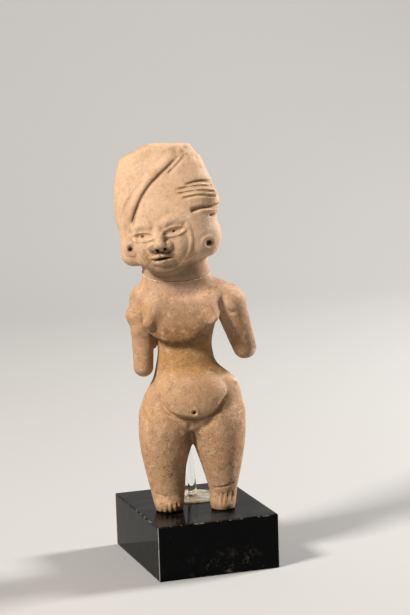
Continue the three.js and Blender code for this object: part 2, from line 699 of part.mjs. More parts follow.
// Low domed puddle of adhesive under the rod
function rodFootGeometry() {
  const rim = ROD_FOOT_DIAMETER / 2;
  const profile = [new THREE.Vector2(0, 0), new THREE.Vector2(rim, 0)];
  const steps = 4;
  for (let i = 0; i <= steps; i += 1) {
    const t = i / steps;
    const rise = Math.sin((t * Math.PI) / 2);
    profile.push(new THREE.Vector2(mix(rim, 0, t), mix(ROD_FOOT_RIM, ROD_FOOT_HEIGHT, rise)));
  }
  const lathe = new THREE.LatheGeometry(profile, 32);
  lathe.rotateX(Math.PI / 2);
  return lathe;
}

// Taut loop: the convex outline, seen from above, of the neck and the rod with the thread's clearance.
function threadLoop() {
  const clear = SEAT_GAP + THREAD_DIAMETER / 2;
  const middle = [-3, 0.5];
  const samples = 96;
  const points = [];
  const onPlane = (x, y) => [x, y, threadHeight(y)];
  const rod = rodAt(threadHeight(rodTop.y / HUNDREDTH) * HUNDREDTH);
  for (let i = 0; i < samples; i += 1) {
    const turn = (2 * Math.PI * i) / samples;
    const [c, s] = [Math.cos(turn), Math.sin(turn)];
    const outside = onPlane(middle[0] + BEHIND * c, middle[1] + BEHIND * s);
    const [x, y] = meeting(outside, onPlane(...middle), 1.15 * clear);
    points.push([x * HUNDREDTH, y * HUNDREDTH]);
    const reach = ROD_DIAMETER / 2 + 1.2 * clear;
    points.push([rod.x + reach * c, rod.y + reach * s]);
  }
  points.sort((a, b) => a[0] - b[0] || a[1] - b[1]);
  const turnOf = (o, a, b) => (a[0] - o[0]) * (b[1] - o[1]) - (a[1] - o[1]) * (b[0] - o[0]);
  const half = (list) => {
    const hull = [];
    for (const p of list) {
      while (hull.length > 1 && turnOf(hull.at(-2), hull.at(-1), p) <= 1e-6) hull.pop();
      hull.push(p);
    }
    return hull.slice(0, -1);
  };
  const hull = [...half(points), ...half([...points].reverse())];
  const line = new THREE.CurvePath();
  hull.forEach((p, i) => {
    const q = hull[(i + 1) % hull.length];
    const rise = (v) => threadHeight(v[1] / HUNDREDTH) * HUNDREDTH;
    line.add(new THREE.LineCurve3(new THREE.Vector3(...p, rise(p)), new THREE.Vector3(...q, rise(q))));
  });
  return new THREE.CatmullRomCurve3(line.getSpacedPoints(56).slice(0, -1), true);
}

// Nylon thread: the loop, a small knot behind the neck and a cut tail
function threadGeometry() {
  const loop = threadLoop();
  const ring = new THREE.TubeGeometry(loop, 60, THREAD_DIAMETER / 2, 5, true);
  const knotAt = loop.getPointAt(KNOT_PLACE);
  const knot = new THREE.SphereGeometry(KNOT_DIAMETER / 2, 8, 6).translate(...knotAt.toArray());
  const tip = knotAt.clone().add(new THREE.Vector3(0.93, 0.36, -0.03).multiplyScalar(THREAD_TAIL));
  const bow = knotAt.clone().lerp(tip, 0.5).add(new THREE.Vector3(0, 0, 0.05 * THREAD_TAIL));
  const section = new THREE.Shape().absarc(0, 0, THREAD_DIAMETER / 2, 0, 2 * Math.PI);
  const tail = new THREE.ExtrudeGeometry(section, {
    steps: 8,
    curveSegments: 5,
    extrudePath: new THREE.QuadraticBezierCurve3(knotAt, bow, tip),
  });
  return geometryFrom(solidOf(ring).add(solidOf(knot)).add(solidOf(tail)));
}

// Rectangular block with slightly eased edges
function plinthGeometry() {
  const [w, d, e] = [PLINTH_WIDTH / 2, PLINTH_DEPTH / 2, PLINTH_EDGE];
  const outline = new THREE.Shape([
    new THREE.Vector2(-w + e, -d), new THREE.Vector2(w - e, -d), new THREE.Vector2(w, -d + e),
    new THREE.Vector2(w, d - e), new THREE.Vector2(w - e, d), new THREE.Vector2(-w + e, d),
    new THREE.Vector2(-w, d - e), new THREE.Vector2(-w, -d + e),
  ]);
  const block = new THREE.ExtrudeGeometry(outline, {
    depth: PLINTH_HEIGHT - 2 * e,
    bevelSize: e,
    bevelThickness: e,
    bevelOffset: -e,
    bevelSegments: 1,
  });
  return block.translate(0, 0, e);
}

const finish = (color, roughness, opacity = 1) =>
  new THREE.MeshStandardMaterial({ color, roughness, metalness: 0, opacity, transparent: opacity < 1 });
const CLAY = finish(0xb98b63, 0.85);
const BLACK_LACQUER = finish(0x060606, 0.15);
const ACRYLIC = finish(0xe8eeee, 0.05, 0.35);
const ADHESIVE = finish(0xc9b48a, 0.25, 0.6);
const NYLON = finish(0xe6ded4, 0.2, 0.6);

function piece(name, geometry, material) {
  const mesh = new THREE.Mesh(geometry, material);
  mesh.name = name;
  return mesh;
}

const group = new THREE.Group();
group.add(piece("plinth", plinthGeometry(), BLACK_LACQUER));

// All that stands on the plinth is turned with the figure and set forward of the plinth's middle.
const standing = new THREE.Group();
const turn = (FIGURE_TURN_DEG * Math.PI) / 180;
standing.rotation.z = turn;
standing.position.set(FIGURE_FORWARD * Math.sin(turn), -FIGURE_FORWARD * Math.cos(turn), PLINTH_HEIGHT);
const clay = piece("figurine", figureGeometry(), CLAY);
clay.position.z = SEAT_GAP;
standing.add(clay);
standing.add(piece("support_rod", rodGeometry(), ACRYLIC));
const puddle = piece("rod_foot", rodFootGeometry(), ADHESIVE);
puddle.position.set(rodFoot.x, rodFoot.y, SEAT_GAP);
standing.add(puddle);
const thread = piece("neck_thread", threadGeometry(), NYLON);
thread.position.z = SEAT_GAP;
standing.add(thread);
group.add(standing);

export default group;
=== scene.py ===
"""Looks of a fired clay standing figure on its black display plinth, laid out as a Blender add-on.

The figure is carved in hundredths of its own height: x to its viewer's right, y away, z up from its soles.
"""

import math

import bpy
import numpy as np
from mathutils import Matrix, Vector


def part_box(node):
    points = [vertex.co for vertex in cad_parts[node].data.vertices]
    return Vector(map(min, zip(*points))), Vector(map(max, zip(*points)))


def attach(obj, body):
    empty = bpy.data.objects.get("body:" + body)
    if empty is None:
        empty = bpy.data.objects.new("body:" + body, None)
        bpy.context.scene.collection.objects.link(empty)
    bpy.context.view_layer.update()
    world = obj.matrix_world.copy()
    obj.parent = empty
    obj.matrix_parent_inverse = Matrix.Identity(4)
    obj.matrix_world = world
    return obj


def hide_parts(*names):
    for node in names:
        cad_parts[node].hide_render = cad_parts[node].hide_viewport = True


bl_info = {
    "name": "Clay figure on a plinth",
    "version": (1, 0, 0),
    "blender": (4, 5, 0),
    "location": "View3D > Sidebar > Clay figure",
    "description": "Makes the surfaces of a small clay figure, its plinth, rod and thread",
    "category": "Add Mesh",
}

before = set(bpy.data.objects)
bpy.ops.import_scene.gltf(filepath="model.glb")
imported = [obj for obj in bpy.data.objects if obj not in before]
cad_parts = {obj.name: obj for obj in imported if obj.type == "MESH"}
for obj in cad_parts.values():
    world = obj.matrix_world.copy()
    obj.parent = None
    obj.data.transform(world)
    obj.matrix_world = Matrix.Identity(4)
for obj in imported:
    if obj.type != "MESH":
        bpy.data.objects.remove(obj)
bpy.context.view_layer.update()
PLINTH_LOW, PLINTH_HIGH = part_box("plinth")
FIGURE_LOW, FIGURE_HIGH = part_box("figurine")
PUDDLE_LOW, PUDDLE_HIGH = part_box("rod_foot")
PLINTH_TOP = PLINTH_HIGH.z

# Where the figure stands on its plinth: how far it is turned, and how far forward of the middle
FIGURE_TURN = math.radians(-17.8)
FIGURE_FORWARD = 0.0065
HUNDREDTH = (FIGURE_HIGH.z - FIGURE_LOW.z) / 100


def colour(name, text, default):
    """A colour that the user may change."""
    return bpy.props.FloatVectorProperty(
        name=name, description=text, subtype="COLOR", size=3, min=0, max=1, default=default)


def length(name, text, default):
    """A length that the user may change, in metres."""
    return bpy.props.FloatProperty(name=name, description=text, unit="LENGTH", precision=5, default=default)


def angle(name, text, degrees):
    """An angle that the user may change, its default given in degrees."""
    return bpy.props.FloatProperty(
        name=name, description=text, subtype="ANGLE", default=math.radians(degrees))


def amount(name, text, default):
    """A plain number that the user may change."""
    return bpy.props.FloatProperty(name=name, description=text, default=default)


class FigureSettings(bpy.types.PropertyGroup):
    """Fineness and colours of the clay."""

    cell: length("Cell", "Grid step of the clay surface", 0.0004)
    unevenness: length("Unevenness", "How far hand modelling leaves the surface off true", 0.0002)
    clay: colour("Clay", "Pale buff clay of the head", (0.55, 0.36, 0.225))
    body: colour("Body", "Warmer buff clay of the body", (0.40, 0.228, 0.116))
    shade: colour("Shaded clay", "Darker, duller clay of the legs and arms", (0.34, 0.205, 0.112))
    bloom: colour("Pink bloom", "Pinkish grey slip on chest, shoulder and ear", (0.56, 0.365, 0.275))
    ochre: colour("Ochre", "Stain round the waist", (0.32, 0.148, 0.028))
    rust: colour("Rust", "Orange brown patches", (0.37, 0.165, 0.062))
    worn: colour("Worn clay", "Pale rubbed edges and scratches", (0.74, 0.52, 0.36))
    # Soil colour, also painted as shade in the hollows, under the chin and in the groin
    soil_and_shade: colour("Soil", "Dark soil in pits and specks, also painted shade in hollows, under the chin and in the groin", (0.085, 0.048, 0.022))


class PlinthSettings(bpy.types.PropertyGroup):
    """Edge and colours of the lacquered block."""

    edge: length("Edge", "Radius of the block's edges", 0.0004)
    lacquer: colour("Lacquer", "Black lacquer", (0.0032, 0.0032, 0.0034))
    # Dust colour, also painted as a highlight down the upright edges
    dust_and_highlight: colour("Dust", "Dust, rubbed edges and painted edge highlights", (0.34, 0.34, 0.31))


class HolderSettings(bpy.types.PropertyGroup):
    """Clear rod, its puddle of adhesive and the thread round the neck."""

    rod_diameter: length("Rod", "Diameter of the clear rod", 0.003)
    thread_diameter: length("Thread", "Diameter of the nylon thread", 0.00024)
    thread_tail: length("Thread end", "Length of the thread's cut end", 0.0105)
    adhesive: colour("Adhesive", "Pale set adhesive", (0.62, 0.54, 0.40))
    amber: colour("Amber", "Yellowed parts of the adhesive", (0.46, 0.30, 0.12))
    milk: colour("Milk", "Cloudy white parts of the adhesive", (0.86, 0.85, 0.8))


class StudioSettings(bpy.types.PropertyGroup):
    """Camera and light."""

    camera_place: bpy.props.FloatVectorProperty(
        name="Camera", description="Where the camera stands", subtype="TRANSLATION", size=3,
        default=(-0.20269, -0.64868, 0.19298))
    lens: amount("Lens", "Focal length over a frame 36 mm high", 122.93)
    turn: angle("Turn", "How far the camera stands round to the left", 17.821)
    pitch: angle("Pitch", "How far the camera looks down", 9.127)
    roll: angle("Roll", "How far the camera is tilted", -1.902)
    key: amount("Key light", "Power of the light at the front left, in watts", 28.0)
    rim: amount("Rim light", "Power of the light at the right rear, in watts", 17.0)
    fill: amount("Fill", "Strength of the light from all round", 0.04)
    floor: colour("Floor", "Pale floor and backdrop", (0.36, 0.357, 0.352))


def settings_of(name):
    """The scene's own values of one property group."""
    return getattr(bpy.context.scene, name)


# Bodies as fields over whole arrays of points: negative inside


def blend(a, b, k):
    """Join of two bodies: the lesser value, lowered by k h (1 - h) where they are within k of each other."""
    h = np.clip(0.5 + 0.5 * (b - a) / k, 0, 1)
    return b + (a - b) * h - k * h * (1 - h)


def trim(a, b, k):
    """Cut of a body: the greater value, rounded in the same way."""
    return -blend(-a, -b, k)


def run(at, stations, values, ends_level=True):
    """Cubic run through stations: value times (1 + 2t)(1 - t)^2 and slope times t(1 - t)^2 from both ends."""
    stations = np.asarray(stations, float)
    values = np.asarray(values, float)
    slopes = np.zeros(len(values))
    slopes[1:-1] = (values[2:] - values[:-2]) / (stations[2:] - stations[:-2])
    if not ends_level:
        slopes[0] = (values[1] - values[0]) / (stations[1] - stations[0])
        slopes[-1] = (values[-1] - values[-2]) / (stations[-1] - stations[-2])
    i = np.clip(np.searchsorted(stations, at) - 1, 0, len(stations) - 2)
    h = stations[i + 1] - stations[i]
    t = np.clip((at - stations[i]) / h, 0, 1)
    s = 1 - t
    rise = values[i] * (1 + 2 * t) * s * s + values[i + 1] * t * t * (3 - 2 * t)
    return rise + slopes[i] * h * t * s * s - slopes[i + 1] * h * t * t * s


def column(p, stations, turn_deg=0.0, power=2.0):
    """Upright body: distance from its axis over the half widths, less one, brought back to length."""
    x, y, z = p
    at, *columns = np.array(stations, float).T
    cx, cy, a, b = (run(z, at, c) for c in columns)
    c, s = math.cos(math.radians(turn_deg)), math.sin(math.radians(turn_deg))
    dx, dy = x - cx, y - cy
    u = (dx * c + dy * s) / a
    v = (-dx * s + dy * c) / b
    around = np.hypot(u, v) + 1e-9
    reach = around
    if power != 2.0:
        reach = (np.abs(u) ** power + np.abs(v) ** power) ** (1 / power)
    return (reach - 1) * around / (np.hypot(u / a, v / b) + 1e-9)


def egg(p, centre, half):
    """Egg with three half axes: q (q - 1) over the length of its slope, q the scaled distance."""
    u, v, w = ((p[i] - centre[i]) / half[i] for i in range(3))
    reach = np.sqrt(u * u + v * v + w * w) + 1e-9
    slope = np.sqrt((u / half[0]) ** 2 + (v / half[1]) ** 2 + (w / half[2]) ** 2) + 1e-9
    return reach * (reach - 1) / slope


def limb(p, a, b, ra, rb):
    """Round limb: distance to the line from a to b, less a radius that runs from ra to rb."""
    d = [b[i] - a[i] for i in range(3)]
    along = sum((p[i] - a[i]) * d[i] for i in range(3)) / sum(v * v for v in d)
    h = np.clip(along, 0, 1)
    off = np.sqrt(sum((p[i] - a[i] - h * d[i]) ** 2 for i in range(3)))
    return off - (ra + (rb - ra) * h)


def bell(d, r):
    """Round-topped bump: (1 - (d/r)^2)^2, nothing beyond r."""
    t = np.clip(1 - (d / r) ** 2, 0, 1)
    return t * t


def ease(v, low, high):
    """Smooth step from 0 at low to 1 at high."""
    t = np.clip((v - low) / (high - low), 0, 1)
    return t * t * (3 - 2 * t)


# Straight steps between two points of a tooled line
LINE_STEPS = 4


def tooled(x, z, points, width, depth, fade):
    """Tooled line: depth times a bell of the distance to a smooth curve, eased towards its ends."""
    steps = LINE_STEPS * (len(points) - 1)
    at = np.linspace(0, len(points) - 1, steps + 1)
    rows = np.arange(len(points))
    px, pz = (run(at, rows, [q[i] for q in points], False) for i in (0, 1))
    near = np.flatnonzero((x > px.min() - width) & (x < px.max() + width)
                          & (z > pz.min() - width) & (z < pz.max() + width))
    best = np.full(len(near), np.inf)
    along = np.zeros(len(near))
    for i in range(steps):
        dx, dz = px[i + 1] - px[i], pz[i + 1] - pz[i]
        ox, oz = x[near] - px[i], z[near] - pz[i]
        h = np.clip((ox * dx + oz * dz) / (dx * dx + dz * dz), 0, 1)
        d = np.hypot(ox - h * dx, oz - h * dz)
        closer = d < best
        best[closer] = d[closer]
        along[closer] = ((i + h) / steps)[closer]
    end = np.clip(np.minimum(along, 1 - along) / fade, 0, 1)
    cut = np.zeros(len(x))
    cut[near] = depth * bell(best, width) * end * (2 - end)
    return cut


def lattice(p, size, seed):
    """Smooth noise from -1 to 1: hashed values at lattice corners, blended by eased shares of each cell."""
    q = [np.asarray(c) / size + 31.7 * (i + 1) + seed for i, c in enumerate(p)]
    base = [np.floor(c) for c in q]
    share = [ease(c - b, 0, 1) for c, b in zip(q, base)]
    total = 0.0
    for corner in range(8):
        bits = [(corner >> i) & 1 for i in range(3)]
        weight = 1.0
        for i in range(3):
            weight = weight * (share[i] if bits[i] else 1 - share[i])
        key = sum((base[i] + bits[i]) * m for i, m in enumerate((12.9898, 78.233, 37.719)))
        value = np.sin(key + 0.137 * seed) * 43758.5453
        total = total + weight * (2 * (value - np.floor(value)) - 1)
    return total


# Bodies of the figure through stations of height, centre x, centre y, half width, half depth

LEFT_LEG = [
    (0, -6.9, -0.6, 3.75, 4.2), (3, -7.05, -0.3, 4.3, 4.4), (6, -7.2, 0.0, 4.8, 4.7),
    (12, -7.6, 0.4, 5.75, 5.8), (18, -7.3, 0.8, 7.1, 7.0), (24, -6.9, 1.0, 7.6, 7.6),
    (31, -6.2, 1.0, 6.6, 6.6),
]
RIGHT_LEG = [
    (0, 7.8, -0.2, 3.2, 4.2), (3, 7.95, 0.0, 3.6, 4.3), (6, 7.95, 0.2, 4.05, 4.6),
    (12, 7.75, 0.6, 5.55, 5.7), (18, 7.35, 1.0, 6.95, 7.0), (24, 7.1, 1.1, 7.6, 7.6),
    (31, 6.6, 1.0, 6.9, 6.6),
]
TRUNK = [
    (20, 0.1, 1.0, 10.0, 6.2), (26, 0.1, 1.2, 13.8, 7.2), (31, 0.4, 0.9, 13.4, 7.3),
    (36, 0.9, 0.3, 11.2, 6.4), (40, -0.8, 0.1, 8.4, 5.6), (44, -1.2, 0.1, 7.4, 5.2),
    (48, -1.3, 0.1, 7.7, 5.2), (53, -1.8, 0.2, 9.6, 5.2), (58, -2.0, 0.4, 10.4, 5.0),
    (62, -2.7, 0.2, 9.6, 5.2), (65.5, -2.95, 0.0, 8.9, 5.6), (70, -3.3, -0.3, 8.9, 5.6),
    (75, -3.6, -0.3, 8.4, 5.4),
]
HEAD = [
    (66, -4.6, -0.6, 12.0, 5.8), (70, -4.6, -0.6, 12.8, 6.4), (75, -4.5, -0.5, 13.1, 7.2),
    (80, -5.1, -0.2, 13.6, 7.6), (85, -5.2, 0.0, 13.9, 7.4), (90, -5.6, 0.3, 13.1, 6.6),
    (95, -6.2, 0.7, 11.5, 5.6), (100, -7.2, 1.1, 9.9, 4.8),
]
HEAD_TURN_DEG = -11
CHEST = [
    (45, -2.1, -1.2, 8.4, 5.4), (49, -2.1, -1.2, 9.2, 6.1), (53, -1.7, -1.0, 10.0, 5.9),
    (58, -1.5, -0.6, 10.2, 5.2), (62, -1.8, -0.2, 9.0, 4.6),
]

# Eggs joined to the body: centre, half axes, and how softly each one joins
FEET = (
    ((-6.75, -2.4, 1.7), (3.6, 3.6, 2.7), 1.2),
    ((7.75, -1.5, 1.8), (3.1, 3.5, 2.7), 1.2),
)
SEAT = (
    ((-5.6, 3.4, 24.5), (6.6, 5.6, 6.6), 2.5),
    ((6.0, 3.6, 24.5), (6.6, 5.6, 6.6), 2.5),
)
HIP_STUMP = ((11.9, -0.6, 35.2), (1.0, 1.3, 0.8), 0.6)
HAIR_LOCK = (
    ((4.4, -2.6, 84.2), (5.0, 4.6, 4.4), 1.2),
    ((3.5, -5.3, 86.9), (5.3, 2.9, 3.3), 0.7),
)
EAR_SIDE = ((5.4, -1.4, 75.2), (4.2, 4.5, 5.0), 1.4)
# Limbs: from, to, radius at each end, and how softly each one joins
BREASTS = (
    ((-8.2, -2.3, 56.6), (-10.6, -5.9, 52.7), 3.8, 1.7, 1.4),
    ((5.0, -2.5, 56.8), (7.2, -5.9, 53.0), 3.8, 1.7, 1.4),
)
SHOULDERS = (
    ((-3.5, 0.2, 61.6), (-11.6, 0.4, 58.8), 4.3, 3.8, 1.6),
    ((0.5, 0.2, 61.9), (10.4, 0.8, 58.0), 4.4, 4.0, 1.6),
)
LEFT_FOREARM = ((-12.3, -0.6, 50.0), (-12.6, -1.2, 40.0), 3.05, 2.75, 1.0)
LEFT_ARM_RIDGE = ((-9.7, -0.2, 51.0), (-9.4, -0.5, 45.4), 1.1, 0.6, 0.4)

# The face is a raised mask tilted on the head: u to its right, w up, from its middle
FACE_X, FACE_Z = -6.9, 75.8
FACE_TILT = math.radians(9)
MASK_ACROSS, MASK_UP, MASK_DOWN = 8.0, 13.0, 9.4
EYE_APART, EYE_UP = 4.2, 1.2
NOSE_BASE, MOUTH_UP = -2.9, -5.4


def face_frame(x, z):
    """Face coordinates: the front view turned by the tilt about the middle of the face."""
    c, s = math.cos(FACE_TILT), math.sin(FACE_TILT)
    return (x - FACE_X) * c + (z - FACE_Z) * s, -(x - FACE_X) * s + (z - FACE_Z) * c


def mask_reach(u, w, rise):
    """Scaled distance from the middle of the mask's oval, whose half height is given: 1 on its edge."""
    return np.hypot((u - 1.0) / MASK_ACROSS, (w + 0.6) / rise)


def with_eggs(d, p, *eggs):
    """A body with eggs joined to it one after the other."""
    for centre, half, softness in eggs:
        d = blend(d, egg(p, centre, half), softness)
    return d


def with_limbs(d, p, *limbs):
    """A body with limbs joined to it one after the other."""
    for start, end, start_radius, end_radius, softness in limbs:
        d = blend(d, limb(p, start, end, start_radius, end_radius), softness)
    return d


def lower_body(p):
    """Legs, stub feet, trunk, seat, the stump of the chipped hip, and a belly cut below to a lip."""
    x, y, z = p
    d = trim(blend(column(p, LEFT_LEG), column(p, RIGHT_LEG), 1.4), z - 29, 3)
    d = with_eggs(d, p, *FEET)
    d = blend(d, trim(trim(column(p, TRUNK), 21 - z, 4), z - 73, 3), 2.2)
    d = with_eggs(d, p, *SEAT, HIP_STUMP)
    belly = egg(p, (-0.1, -2.9, 31.8), (10.3, 6.1, 9.0))
    across = (x - 0.4) ** 2
    lip = 27.0 + 0.03 * across + 0.0003 * across**2 + 0.25 * (y + 7.5) - z
    return blend(d, trim(belly, lip, 0.7), 0.5)


def upper_body(p, d):
    """Chest and two outward breasts cut to an underside, shoulders and arm stumps."""
    x, y, z = p
    chest = with_limbs(trim(column(p, CHEST, 0, 2.6), z - 60.5, 3), p, *BREASTS)
    under = 47.0 + 0.042 * (x + 4) ** 2 + 0.2 * (y + 7) - z
    d = with_limbs(blend(d, trim(chest, under, 1.2), 0.9), p, *SHOULDERS)
    left = limb(p, (-12.0, 0.6, 58.0), (-12.4, -0.6, 50.0), 3.8, 3.1)
    left = with_limbs(left, p, LEFT_FOREARM, LEFT_ARM_RIDGE)
    left = blend(left, egg(p, (-14.6, -0.8, 54.0), (2.2, 2.1, 2.3)), 1.6)
    d = blend(d, trim(left, 37.0 - z, 0.5), 0.35)
    right = limb(p, (11.2, 1.4, 56.4), (15.1, 2.4, 43.9), 4.4, 3.2)
    right = blend(right, egg(p, (11.4, 0.2, 56.9), (3.9, 3.5, 3.8)), 1.6)
    return blend(d, right, 0.9)


def head(p):
    """Tall flattened head: slanted top, hair lock, ear side, and a raised mask with nose and lips."""
    x, y, z = p
    d = trim(column(p, HEAD, HEAD_TURN_DEG, 2.5), 0.12 * (x + 14) - 0.99 * (z - 67.4), 3.2)
    d = trim(d, z - 100 + 0.45 * np.maximum(-9 - x, 0), 1.3)
    d = with_eggs(d, p, *HAIR_LOCK, EAR_SIDE)
    u, w = face_frame(x, z)
    q = (u, y, w)
    rim = MASK_ACROSS * mask_reach(u, w, np.where(w > 0, MASK_UP, MASK_DOWN)) - MASK_ACROSS
    d = blend(d, trim(egg(q, (0.6, -2.6, -0.2), (11.5, 7.1, 13.0)), rim, 0.7), 0.3)
    d = blend(d, egg(q, (0, -6.8, -7.4), (3.9, 2.4, 2.3)), 2.0)
    d = blend(d, limb(q, (0, -8.9, 3.2), (0, -10.4, -1.7), 0.8, 1.6), 1.1)
    for side in (-1, 1):
        d = blend(d, egg(q, (4.3 * side, -7.4, -3.8), (3.0, 2.2, 3.2)), 1.6)
        d = blend(d, egg(q, (1.85 * side, -9.6, NOSE_BASE + 0.7), (1.5, 1.3, 1.3)), 0.6)
    d = blend(d, egg(q, (0, -9.1, MOUTH_UP - 0.85), (2.9, 1.3, 0.9)), 0.6)
    return blend(d, egg(q, (0, -9.2, MOUTH_UP + 0.8), (3.4, 1.3, 0.85)), 0.6)


# Tooled lines: points seen from the front, width, depth, and the share over which each end fades
HEAD_LINES = [
    ([(-0.2, 97.6), (-4.9, 93.5), (-8.8, 89.8), (-11.4, 86.0), (-13.2, 81.8), (-13.9, 78.6)], 0.6, 0.55, 0.2),
    ([(-2.0, 98.0), (-6.6, 94.0), (-10.3, 90.4), (-13.0, 86.2), (-14.9, 81.8), (-15.6, 78.6)],
     1.5, -0.35, 0.2),
    ([(0.8, 97.4), (-1.6, 94.8), (-4.4, 92.2)], 0.55, 0.4, 0.2),
    ([(-10.6, 90.8), (-13.0, 88.0), (-15.4, 84.4), (-16.6, 80.5)], 0.7, 0.35, 0.2),
    ([(1.7, 82.7), (5.0, 83.6), (9.6, 83.4)], 0.9, 1.0, 0.1),
    ([(6.4, 81.4), (8.6, 80.8), (10.0, 80.6)], 0.6, 0.8, 0.15),
]
STRAND_STARTS = (0.2, -2.4, -2.2, -0.6)
for row, start in enumerate(STRAND_STARTS):
    top = 89.7 - 1.15 * row
    HEAD_LINES.append(([(start, top - 0.2), (4.0, top + 0.6), (8.6, top)], 0.55, 0.5, 0.15))
BODY_LINES = [
    ([(-9.4, 32.8), (-6.2, 28.0), (-1.8, 26.5), (2.6, 26.5), (7.0, 28.4), (9.6, 33.2)], 1.0, 0.5, 0.3),
    ([(-0.4, 22.6), (-0.6, 20.0), (-0.7, 15.6)], 1.7, 1.1, 0.2),
    ([(-7.4, 26.4), (-4.4, 24.4), (-2.0, 21.8)], 1.3, 0.4, 0.3),
    ([(6.4, 26.2), (3.4, 24.2), (1.2, 21.8)], 1.3, 0.35, 0.3),
    ([(9.3, 59.4), (9.9, 56.2), (11.4, 54.4), (13.2, 54.6)], 0.9, 0.45, 0.3),
]
BACK_LINES = [
    ([(-2.4, 62.0), (-1.6, 50.0), (0.2, 34.0)], 1.8, 0.5, 0.3),
    ([(0.2, 31.0), (0.2, 19.0)], 1.4, 1.5, 0.3),
]
FOOT_LINES = [
    ([(-10.6, 5.2), (-8.0, 4.5), (-5.4, 4.2)], 0.4, 0.2, 0.2),
    ([(5.2, 6.2), (8.0, 6.6), (11.4, 7.6)], 0.4, 0.35, 0.15),
]
for toe in (-8.6, -7.1, -5.7, -4.4):
    FOOT_LINES.append(([(toe - 0.3, 2.8), (toe + 0.1, -0.6)], 0.55, 0.32, 0.15))
for toe in (6.6, 7.9, 9.1, 10.2):
    FOOT_LINES.append(([(toe + 0.3, 5.3), (toe - 0.3, 1.6)], 0.5, 0.3, 0.3))
BROW = [(1.2, 3.0), (3.0, 4.2), (5.2, 4.2), (7.4, 2.6)]
SPOOLS = ((6.2, 74.0, 1.9, 1.9), (-14.7, 72.4, 1.5, 1.9))
FRONT_FROM, FRONT_OVER = 0.5, 2.0


def face_cuts(x, z):
    """Brows, almond eyes with punched pupils, nostrils, the mask's raised edge and the slit of the lips."""
    u, w = face_frame(x, z)
    cut = np.zeros(len(x))
    for side in (-1, 1):
        cut += tooled(side * u, w, BROW, 1.7, -0.55, 0.25)
        across, rise = u - side * EYE_APART, w - EYE_UP
        almond = np.hypot(across / 2.7, rise / 1.0 - 0.05 * across * side)
        cut += 0.4 * np.clip(1 - almond**2, 0, 1) - 0.26 * bell(almond - 1.2, 0.36)
        cut += 0.8 * bell(np.hypot(across, rise), 0.5)
        cut += 1.2 * bell(np.hypot(u - 1.0 * side, w - NOSE_BASE), 0.7)
    cut -= 0.3 * bell(mask_reach(u, w, MASK_DOWN) - 0.93, 0.11) * ease(5 - w, 0, 4)
    return cut + 0.6 * bell(np.hypot(u, (w - MOUTH_UP) / 0.2) / 2.2, 1.3)


def carving(p):
    """Depth of the tooled lines, punched holes and shallow hollows, front and back, less the raised rings."""
    x, y, z = p
    cut = np.zeros(len(x))
    for points, width, depth, fade in HEAD_LINES + BODY_LINES + FOOT_LINES:
        cut += tooled(x, z, points, width, depth, fade)
    on_head = ease(z, 65.5, 67)
    cut += face_cuts(x, z) * on_head
    for cx, cz, rx, rz in SPOOLS:
        q = np.hypot((x - cx) / rx, (z - cz) / rz)
        curl = 1 - 0.8 * bell(np.hypot(x - cx - 1.0, z - cz - 1.3), 1.6)
        cut += (1.5 * bell(q, 0.5) - 0.32 * bell(q - 0.8, 0.4) * curl) * on_head
    navel = np.hypot(x - 0.8, z - 28.3)
    cut += 1.2 * bell(navel, 0.75) - 0.22 * bell(navel - 1.1, 0.6) * ease(x, -0.4, 1.4)
    cut += 0.45 * bell(np.hypot(x + 0.4, (z - 24.4) / 1.4), 1.1)
    back = np.zeros(len(x))
    for points, width, depth, fade in BACK_LINES:
        back += tooled(x, z, points, width, depth, fade)
    front_share = np.clip((-y - FRONT_FROM) / FRONT_OVER, 0, 1)
    return cut * front_share + back * np.clip((y - FRONT_FROM) / FRONT_OVER, 0, 1)


def figure(p):
    """The whole figure: body and head joined, carved, and cut level under the soles."""
    d = blend(upper_body(p, lower_body(p)), head(p), 0.9)
    return trim(d + carving(p), -p[2], 0.35)


# Waves of the unevenness: length, seed, height, and further height on the broken top
WAVES = ((6.0, 1.0, 0.6, 0.0), (2.2, 5.0, 0.3, 2.0), (0.9, 9.0, 0.18, 0.8))


def clay(p, uneven):
    """The figure with its hand-made unevenness: three sizes of lattice noise, rougher on the broken top."""
    broken = ease(p[2] + 0.5 * p[0], 95, 98)
    wave = sum((high + further * broken) * lattice(p, size, seed) for size, seed, high, further in WAVES)
    return figure(p) + uneven * wave * ease(p[2], 0.2, 2.5)


# Surface of a field


def banded_field(field, low, high, cell, coarse=4, band=1.9):
    """Field on a fine grid, worked out only within some coarse cells of its surface; elsewhere it takes
    the coarse grid's value."""
    count = [int(math.ceil((high[i] - low[i]) / (cell * coarse))) for i in range(3)]
    big = [low[i] + cell * coarse * (np.arange(count[i]) + 0.5) for i in range(3)]
    grid = np.meshgrid(*big, indexing="ij")
    rough = field([g.ravel() for g in grid]).reshape(count)
    fine = rough.repeat(coarse, 0).repeat(coarse, 1).repeat(coarse, 2)
    at = np.nonzero(np.abs(fine) < band * cell * coarse)
    fine[at] = field([low[i] + cell * (at[i] + 0.5) for i in range(3)])
    return fine, [low[i] + 0.5 * cell for i in range(3)]


